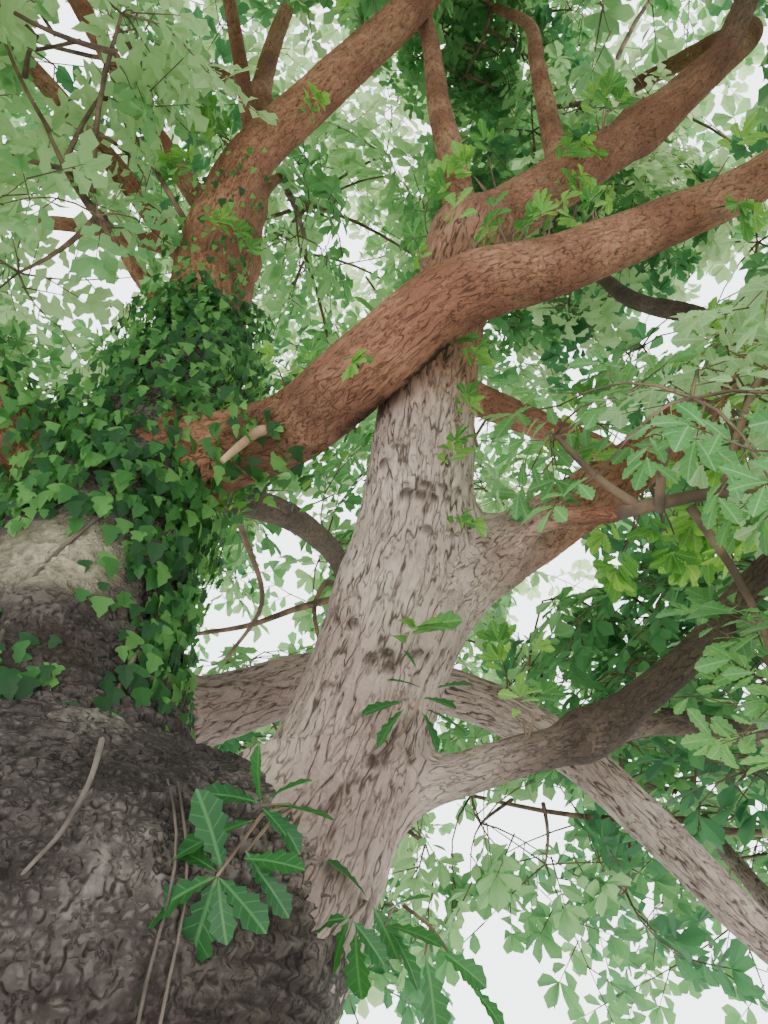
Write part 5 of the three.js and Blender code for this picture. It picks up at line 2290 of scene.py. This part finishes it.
TUFTS = {
    "crossing_bough": (
        ((0.9, -0.52, 3.66), (-0.2, 0.2, 1.0), 4, 0.07),
        ((1.06, -0.58, 3.75), (0.1, 0.2, 1.0), 6, 0.08, 0.13),
        ((1.2, -0.57, 3.86), (0.0, 0.1, 1.0), 7, 0.085, 0.14),
        ((1.34, -0.55, 3.97), (0.1, 0.2, 1.0), 7, 0.085, 0.15),
        ((1.5, -0.5, 4.12), (0.2, 0.0, 1.0), 5, 0.08, 0.12),
        ((1.75, -0.46, 4.32), (-0.1, 0.1, 1.0), 4, 0.075),
        ((2.1, -0.45, 4.6), (0.1, -0.5, -0.6), 4, 0.08, 0.14),
        ((0.8, -0.43, 3.61), (0.1, -0.7, -0.5), 2, 0.06, 0.05),
        ((0.55, -0.12, 3.68), (-0.2, -0.2, 1.0), 4, 0.07),
    ),
    "upper_bough": (
        ((1.7, -0.28, 5.2), (0.1, -0.4, -0.8), 4, 0.08),
        ((1.95, -0.27, 5.5), (0.0, -0.8, 0.5), 5, 0.085, 0.12),
        ((1.5, -0.3, 4.95), (0.5, -0.6, -0.3), 5, 0.08, 0.12),
        ((1.35, -0.3, 4.8), (-0.6, -0.6, 0.5), 5, 0.08, 0.12),
    ),
    "overhead_bough": (
        ((-0.1, 0.25, 5.3), (0.6, -0.6, 0.1), 5, 0.08, 0.12),
        ((-0.05, 0.1, 5.7), (-0.8, -0.5, 0.2), 5, 0.085, 0.12),
        ((0.1, -0.03, 6.0), (-0.6, -0.3, 0.7), 5, 0.09, 0.12),
        ((0.3, -0.13, 6.25), (0.4, -0.7, -0.4), 3, 0.08), ((0.8, -0.38, 6.9), (-0.4, -0.6, 0.3), 3, 0.085),
    ),
    "right_stem": (
        ((1.02, -0.2, 3.7), (0.5, -0.9, 0.2), 3, 0.06, 0.06),
        ((1.0, -0.17, 3.5), (0.4, -0.9, 0.0), 2, 0.055, 0.05),
        ((0.96, -0.15, 3.3), (0.7, -0.7, 0.1), 2, 0.06, 0.05),
        ((0.93, -0.1, 3.1), (0.6, -0.8, 0.0), 2, 0.055, 0.05),
        ((0.84, -0.01, 2.66), (0.5, -0.8, -0.15), 1, 0.105, 0.08),
    ),
    "mid_bough": (
        ((1.45, 0.0, 3.32), (0.2, -0.8, 0.5), 4, 0.075, 0.1),
        ((1.6, 0.02, 3.46), (0.0, -0.6, 0.8), 4, 0.08, 0.14),
        ((1.8, 0.05, 3.65), (0.2, -0.8, -0.4), 4, 0.08, 0.14),
        ((2.0, 0.07, 3.85), (0.2, -1.0, 0.3), 5, 0.09, 0.2),
        ((2.2, 0.09, 4.05), (0.3, -1.0, 0.0), 5, 0.1, 0.25),
        ((1.8, 0.05, 3.65), (0.0, 0.5, -0.7), 8, 0.09, 0.25),
        ((2.0, 0.07, 3.85), (0.1, 0.5, -0.9), 8, 0.1, 0.35),
        ((2.2, 0.09, 4.05), (0.0, 0.3, -1.0), 8, 0.1, 0.45),
        ((2.19, 0.09, 4.05), (-0.1, -0.5, -0.9), 9, 0.1, 0.42, True),
        ((2.3, 0.1, 4.15), (0.2, -0.5, -0.7), 9, 0.1, 0.36, True),
        ((2.1, 0.08, 3.95), (0.1, -0.9, -0.5), 6, 0.09, 0.3, True),
    ),
    "low_bough": (
        ((1.3, 0.84, 3.03), (0.2, -0.4, 0.8), 3, 0.09),
    ),
    "fork_limb": (
        ((1.25, 0.03, 2.48), (0.1, -0.5, 0.8), 2, 0.07, 0.06),
    ),
}
WHORLS = (
    (0.537, -0.479, 1.996, 0.415, -0.472, 1.944), (0.537, -0.479, 1.996, 0.498, -0.43, 1.883),
    (0.539, -0.476, 1.994, 0.558, -0.481, 1.91), (0.539, -0.477, 1.995, 0.618, -0.485, 1.929),
    (0.605, -0.469, 2.016, 0.662, -0.445, 1.959), (0.58, -0.469, 2.031, 0.67, -0.5, 2.02),
    (0.542, -0.463, 2.009, 0.522, -0.561, 2.088), (0.594, -0.449, 2.113, 0.472, -0.475, 2.068),
    (0.603, -0.449, 2.143, 0.583, -0.509, 2.209), (0.603, -0.452, 2.146, 0.672, -0.484, 2.182),
    (0.607, -0.448, 2.142, 0.72, -0.468, 2.134), (0.622, -0.465, 2.131, 0.676, -0.444, 2.077),
    (0.599, -0.452, 2.146, 0.514, -0.49, 2.159), (0.606, -0.465, 2.131, 0.646, -0.474, 2.096),
    (0.531, -0.452, 2.012, 0.474, -0.457, 2.048), (0.579, -0.45, 2.054, 0.615, -0.438, 2.011),
    (0.902, -0.246, 2.485, 0.818, -0.257, 2.468), (0.948, -0.268, 2.509, 0.885, -0.305, 2.521),
    (0.975, -0.268, 2.509, 1.048, -0.299, 2.514), (0.945, -0.236, 2.474, 1.037, -0.24, 2.434),
    (0.902, -0.236, 2.474, 0.84, -0.22, 2.412), (0.943, -0.231, 2.469, 0.983, -0.212, 2.403),
    (0.933, -0.282, 2.555, 0.916, -0.307, 2.583), (0.94, -0.253, 2.493, 1.004, -0.285, 2.469),
    (0.816, -0.127, 2.054, 0.761, -0.203, 2.109), (0.776, -0.155, 2.011, 0.682, -0.183, 1.997),
    (0.776, -0.155, 2.011, 0.736, -0.13, 1.938), (0.78, -0.152, 2.008, 0.841, -0.139, 1.948),
    (0.788, -0.127, 1.994, 0.79, -0.09, 1.894), (0.841, -0.127, 2.025, 0.916, -0.181, 2.055),
    (0.852, -0.112, 2.008, 0.951, -0.133, 1.987), (0.863, -0.105, 2.0, 0.924, -0.087, 1.921),
    (0.942, -0.045, 1.964, 0.972, -0.013, 1.838), (0.976, -0.053, 1.972, 1.058, -0.049, 1.923),
    (1.043, 0.0, 1.914, 1.105, 0.0, 1.854), (0.823, -0.121, 2.047, 0.874, -0.094, 1.972),
)
STALKS = (
    ((0.64, -0.2, 2.2), (0.646, -0.331, 2.191), (0.603, -0.449, 2.143)),
    ((0.646, -0.331, 2.191), (0.601, -0.426, 2.132), (0.537, -0.479, 1.996)),
    ((0.646, -0.323, 2.183), (0.62, -0.42, 2.12), (0.579, -0.446, 2.05)),
    ((0.818, -0.15, 2.368), (0.9, -0.23, 2.42), (0.94, -0.251, 2.491)),
    ((0.8, -0.04, 2.08), (0.81, -0.1, 2.06), (0.776, -0.155, 2.011)),
    ((0.86, 0.03, 2.09), (0.87, -0.06, 2.06), (0.852, -0.112, 2.008)),
    ((0.9, 0.07, 2.1), (0.96, 0.02, 2.04), (0.942, -0.045, 1.964)),
    ((0.96, 0.02, 2.04), (1.0, 0.0, 1.98), (1.043, 0.0, 1.914)),
)
SMALL_LIMBS = (
    (((0.57, 2.7, 4.95), (0.26, 2.56, 4.75), (-0.04, 2.39, 4.49), (-0.39, 2.18, 4.27)), 0.028),
    (((0.55, 2.7, 4.95), (0.45, 2.62, 5.02), (0.36, 2.6, 4.8), (0.4, 2.75, 4.55)), 0.024),
    (((0.2, 0.95, 4.24), (0.06, 1.25, 4.4), (0.15, 1.71, 4.2), (-0.1, 2.11, 4.05)), 0.022),
    (((-0.11, 0.22, 5.4), (-0.35, 0.0, 5.75), (-0.62, -0.05, 6.3), (-0.8, 0.0, 6.9)), 0.018),
)
STICK = (
    (0.25, -0.46, 2.28), (0.271, -0.53, 2.15), (0.25, -0.55, 2.05), (0.2, -0.56, 1.96), (0.16, -0.53, 1.85),
)
STUB = ((0.45, -0.12, 3.62), (0.42, -0.18, 3.56), (0.36, -0.18, 3.487), (0.307, -0.173, 3.42))


@dataclass
class Shoots:
    """The leafy shoots on the limbs and the whorls of single leaves, with veined leaves."""

    nodes: tuple[str, ...] = ("leaves_near_right",)
    spread: float = 0.9
    girths: tuple[float, ...] = (0.0045, 0.0035, 0.0025)
    stalk_girths: tuple[float, ...] = (0.005, 0.004, 0.003)

    def build(self, limbs: dict[str, Limb], net: TwigNet, wood: Material) -> None:
        """Makes and shows the shoots.

        Args:
            limbs: every limb by name.
            net: what makes the stalks.
            wood: what the stalks are made of.
        """
        random = Seeded(2024)
        rows: dict[bool, list[Row]] = {False: [], True: []}
        lines: list[Line] = []
        for name, tufts in TUFTS.items():
            stations = Stations(limbs[name], 300)
            for tuft in (Tuft(*row) for row in tufts):
                for row, line in self._tuft(stations, tuft, random):
                    rows[tuft.bright].append(row)
                    lines.append(line)
        self._whorls(random)
        lines += [(np.array(stalk), np.array(self.stalk_girths)) for stalk in STALKS]
        sprig = Sprig(NEAR_LEAF, 2, 5, 0.9, seed=23)
        scatter = Scatter("shoot_sprig", [sprig.leaves(v) for v in range(sprig.variants)])
        parts = {"deep": rows[False][::2], "bright": rows[False][1::2] + rows[True]}
        for label, part in parts.items():
            mesh = scatter.make(f"{label}_shoots", part, SHOOT_FINISHES[label].material())
            show(f"{label}_shoot_leaves", mesh, "leaves", self.nodes)
        scatter.close()
        show("shoot_stalks", net.make("shoot_stalks", lines, 5, wood), "bark_brown", self.nodes)

    def _tuft(self, stations: Stations, tuft: Tuft, random: Seeded) -> Iterator[tuple[Row, Line]]:
        """The shoots of one tuft.

        Args:
            stations: stations along its limb.
            tuft: the tuft.
            random: the shoots' random numbers.

        Yields:
            Each shoot's sprig of leaves, and its stalk.
        """
        middle, radius, ahead = stations.near(tuft.near)
        for _ in range(tuft.sprigs):
            jog = random.jog()
            way = unit(unit(tuft.way) + self.spread * jog)
            out = unit(way - ahead * (way @ ahead))
            start = middle + out * radius * 0.9 + ahead * 0.06 * (random() - 0.5)
            end = start + (way + 0.15 * UP) * tuft.stalk * mix(0.6, 1.3, random())
            bend = (start + end) / 2 + out * 0.15 * tuft.stalk
            size = tuft.leaf * mix(0.8, 1.15, random())
            row = (end, way + 0.1 * UP, UP + 0.5 * out + 0.7 * jog, size)
            yield row, (np.array([start, bend, end]), np.array(self.girths))

    def _whorls(self, random: Seeded) -> None:
        """Makes and shows the single large leaves round the bole's sprig and low on the stem."""
        scatter = Scatter("single_leaf", [NEAR_LEAF.mesh("single_leaf")])
        rows = []
        for base, tip in np.array(WHORLS).reshape(-1, 2, 3):
            facing = np.array([0.0, -0.7, 0.7]) + 0.9 * random.jog()
            rows.append((base, tip - base, facing, 1.2 * float(np.linalg.norm(tip - base)) + 0.01))
        show("whorl_leaves", scatter.make("whorls", rows, SHADED_LEAF.material()), "leaves", self.nodes)
        scatter.close()


@dataclass
class Oddments:
    """What shows besides limbs and leaves: small rear limbs, a dead stick, a stub and a torn edge."""

    taper: float = 0.55
    stick_girth: float = 0.0065
    stub_girth: float = 0.024
    torn_girths: tuple[float, ...] = (0.007, 0.005, 0.001)

    def build(self, net: TwigNet, wood: Material) -> None:
        """Makes and shows the oddments.

        Args:
            net: what makes them.
            wood: what the small limbs are made of.
        """
        lines = [self._line(route, girth) for route, girth in SMALL_LIMBS]
        show("small_limbs", net.make("small_limbs", lines, 10, wood), "bark_brown", ["rear_bough"])
        stick = net.make("dead_stick", [self._line(STICK, self.stick_girth)], 8, GREY_WOOD.material())
        show("dead_stick", stick, "bark_grey", ["bole"])
        torn = net.make("torn_wood", self._torn(), 5, PALE_WOOD.material())
        show("torn_wood", torn, "bark_grey", ["right_stem"])
        stub = net.make("stub", [self._line(STUB, self.stub_girth)], 8, STUB_WOOD.material())
        show("stub", stub, "bark_brown", ["crossing_bough"])

    def _torn(self) -> list[Line]:
        """The splinters along the torn edge."""
        random = Seeded(9)
        lines = []
        for place in TORN:
            foot = np.array(place) + 0.01 * np.array([random() - 0.5, 0.0, random() - 0.5])
            tip = foot + np.array([0.02 * random() - 0.01, -0.01 - 0.012 * random(), 0.03 * random() - 0.02])
            lines.append((np.array([foot, (foot + tip) / 2, tip]), np.array(self.torn_girths)))
        return lines

    def _line(self, route: Sequence[Place], girth: float) -> Line:
        """A smooth line through a route, with a tapering radius."""
        share = np.linspace(0, 1, 24)
        return Route(route).at(share), girth * (1 - self.taper * share)


# The room, the light and the camera.


@dataclass
class Studio:
    """A pale floor, soft light and the camera where the photographer stood."""

    floor: float = 60.0
    floor_height: float = -0.001
    sky: tuple[float, ...] = (0.93, 0.97, 1.0, 1.0)
    sky_strength: float = 4.5
    sun_strength: float = 3.0
    sun_width: float = 10
    sun_turns: Place = (35, 20, 40)
    lamps: tuple[tuple[str, Place, Place, float, float], ...] = (
        ("front_fill", (-2.5, -7.0, 1.6), (0.4, 0.2, 3.6), 7.0, 420),
        ("near_fill", (3.5, -5.5, 0.8), (0.9, 0.0, 3.4), 5.0, 120),
    )
    paint: tuple[float, ...] = (0.8, 0.8, 0.78, 1.0)
    rough: float = 0.9
    sensor: float = 36
    lens: float = 28.125
    nearest: float = 0.05
    tilt: float = 132

    def build(self) -> None:
        """Sets the room up."""
        world = bpy.data.worlds.new("soft_sky")
        bpy.context.scene.world = world
        world.use_nodes = True
        graph = Graph(world.node_tree)
        sockets = {"Color": self.sky, "Strength": self.sky_strength}
        sky = graph.node("ShaderNodeBackground", {}, sockets)
        graph.node("ShaderNodeOutputWorld", {}, {"Surface": sky})
        self._floor()
        sun = bpy.data.lights.new("high_sun", "SUN")
        sun.energy = self.sun_strength
        sun.angle = math.radians(self.sun_width)
        self._put("high_sun", sun, (0, 0, 0), [math.radians(turn) for turn in self.sun_turns])
        for lamp in self.lamps:
            self._area(*lamp)
        camera = bpy.data.cameras.new("camera")
        camera.sensor_width = self.sensor
        camera.lens = self.lens
        camera.clip_start = self.nearest
        tilt = (math.radians(self.tilt), 0, 0)
        bpy.context.scene.camera = self._put("camera", camera, tuple(LOOKOUT), tilt)

    def _floor(self) -> bpy.types.Object:
        """The floor, just below the cut under the bole."""
        low, high = -self.floor, self.floor
        corners = [(x, y, self.floor_height) for x, y in ((low, low), (high, low), (high, high), (low, high))]
        floor = plain_object("floor", mesh_of("floor", np.array(corners), [(0, 1, 2, 3)]))
        material, graph = new_material("pale_floor")
        graph.surface(graph.face(self.paint, self.rough))
        floor.data.materials.append(material)
        return floor

    @staticmethod
    def _put(name: str, data: Any, place: Sequence[float], turns: Sequence[float]) -> bpy.types.Object:
        """A light or a camera in the scene, at a place and turned."""
        thing = plain_object(name, data)
        thing.location = place
        thing.rotation_euler = turns
        return thing

    def _area(self, name: str, place: Place, aim: Place, size: float, strength: float) -> None:
        """A wide soft light that looks at a point.

        Args:
            name: the light's name.
            place: where it is.
            aim: the point that it looks at.
            size: how wide it is.
            strength: its power.
        """
        lamp = bpy.data.lights.new(name, "AREA")
        lamp.energy = strength
        lamp.size = size
        turns = (Vector(aim) - Vector(place)).to_track_quat("-Z", "Y").to_euler()
        self._put(name, lamp, place, turns)


def plan_limbs(crown: Crown, masses: dict[str, Mass]) -> dict[str, Limb]:
    """Every limb by name, each that carries a mass reaching to its door.

    Args:
        crown: the crown's rules.
        masses: every mass by name.

    Returns:
        The limbs.
    """
    ruled = crown.ruled(masses, STEMS["left_stem"], STEMS["left_leader"])
    drawn = {**STEMS, **BOUGHS}
    for limb in drawn.values():
        if limb.leads:
            limb.route = [*limb.route, crown.door(masses[limb.leads], np.array(limb.route[-1], float))]
    limbs = {**drawn, **ruled}
    for name, limb in limbs.items():
        limb.name = name
    return limbs


def main() -> None:
    """Builds the tree and the room."""
    crown = Crown()
    masses = crown.masses()
    limbs = plan_limbs(crown, masses)
    bole = Bole()
    Skins(bole, limbs).build()
    wood = TWIG_BARK.material()
    net = TwigNet()
    foliage = Foliage(crown)
    foliage.plan(masses, limbs)
    foliage.build(net, wood)
    Ivy().build(limbs, bole, net)
    Shoots().build(limbs, net, wood)
    Oddments().build(net, wood)
    Studio().build()


if __name__ == "__main__":
    main()
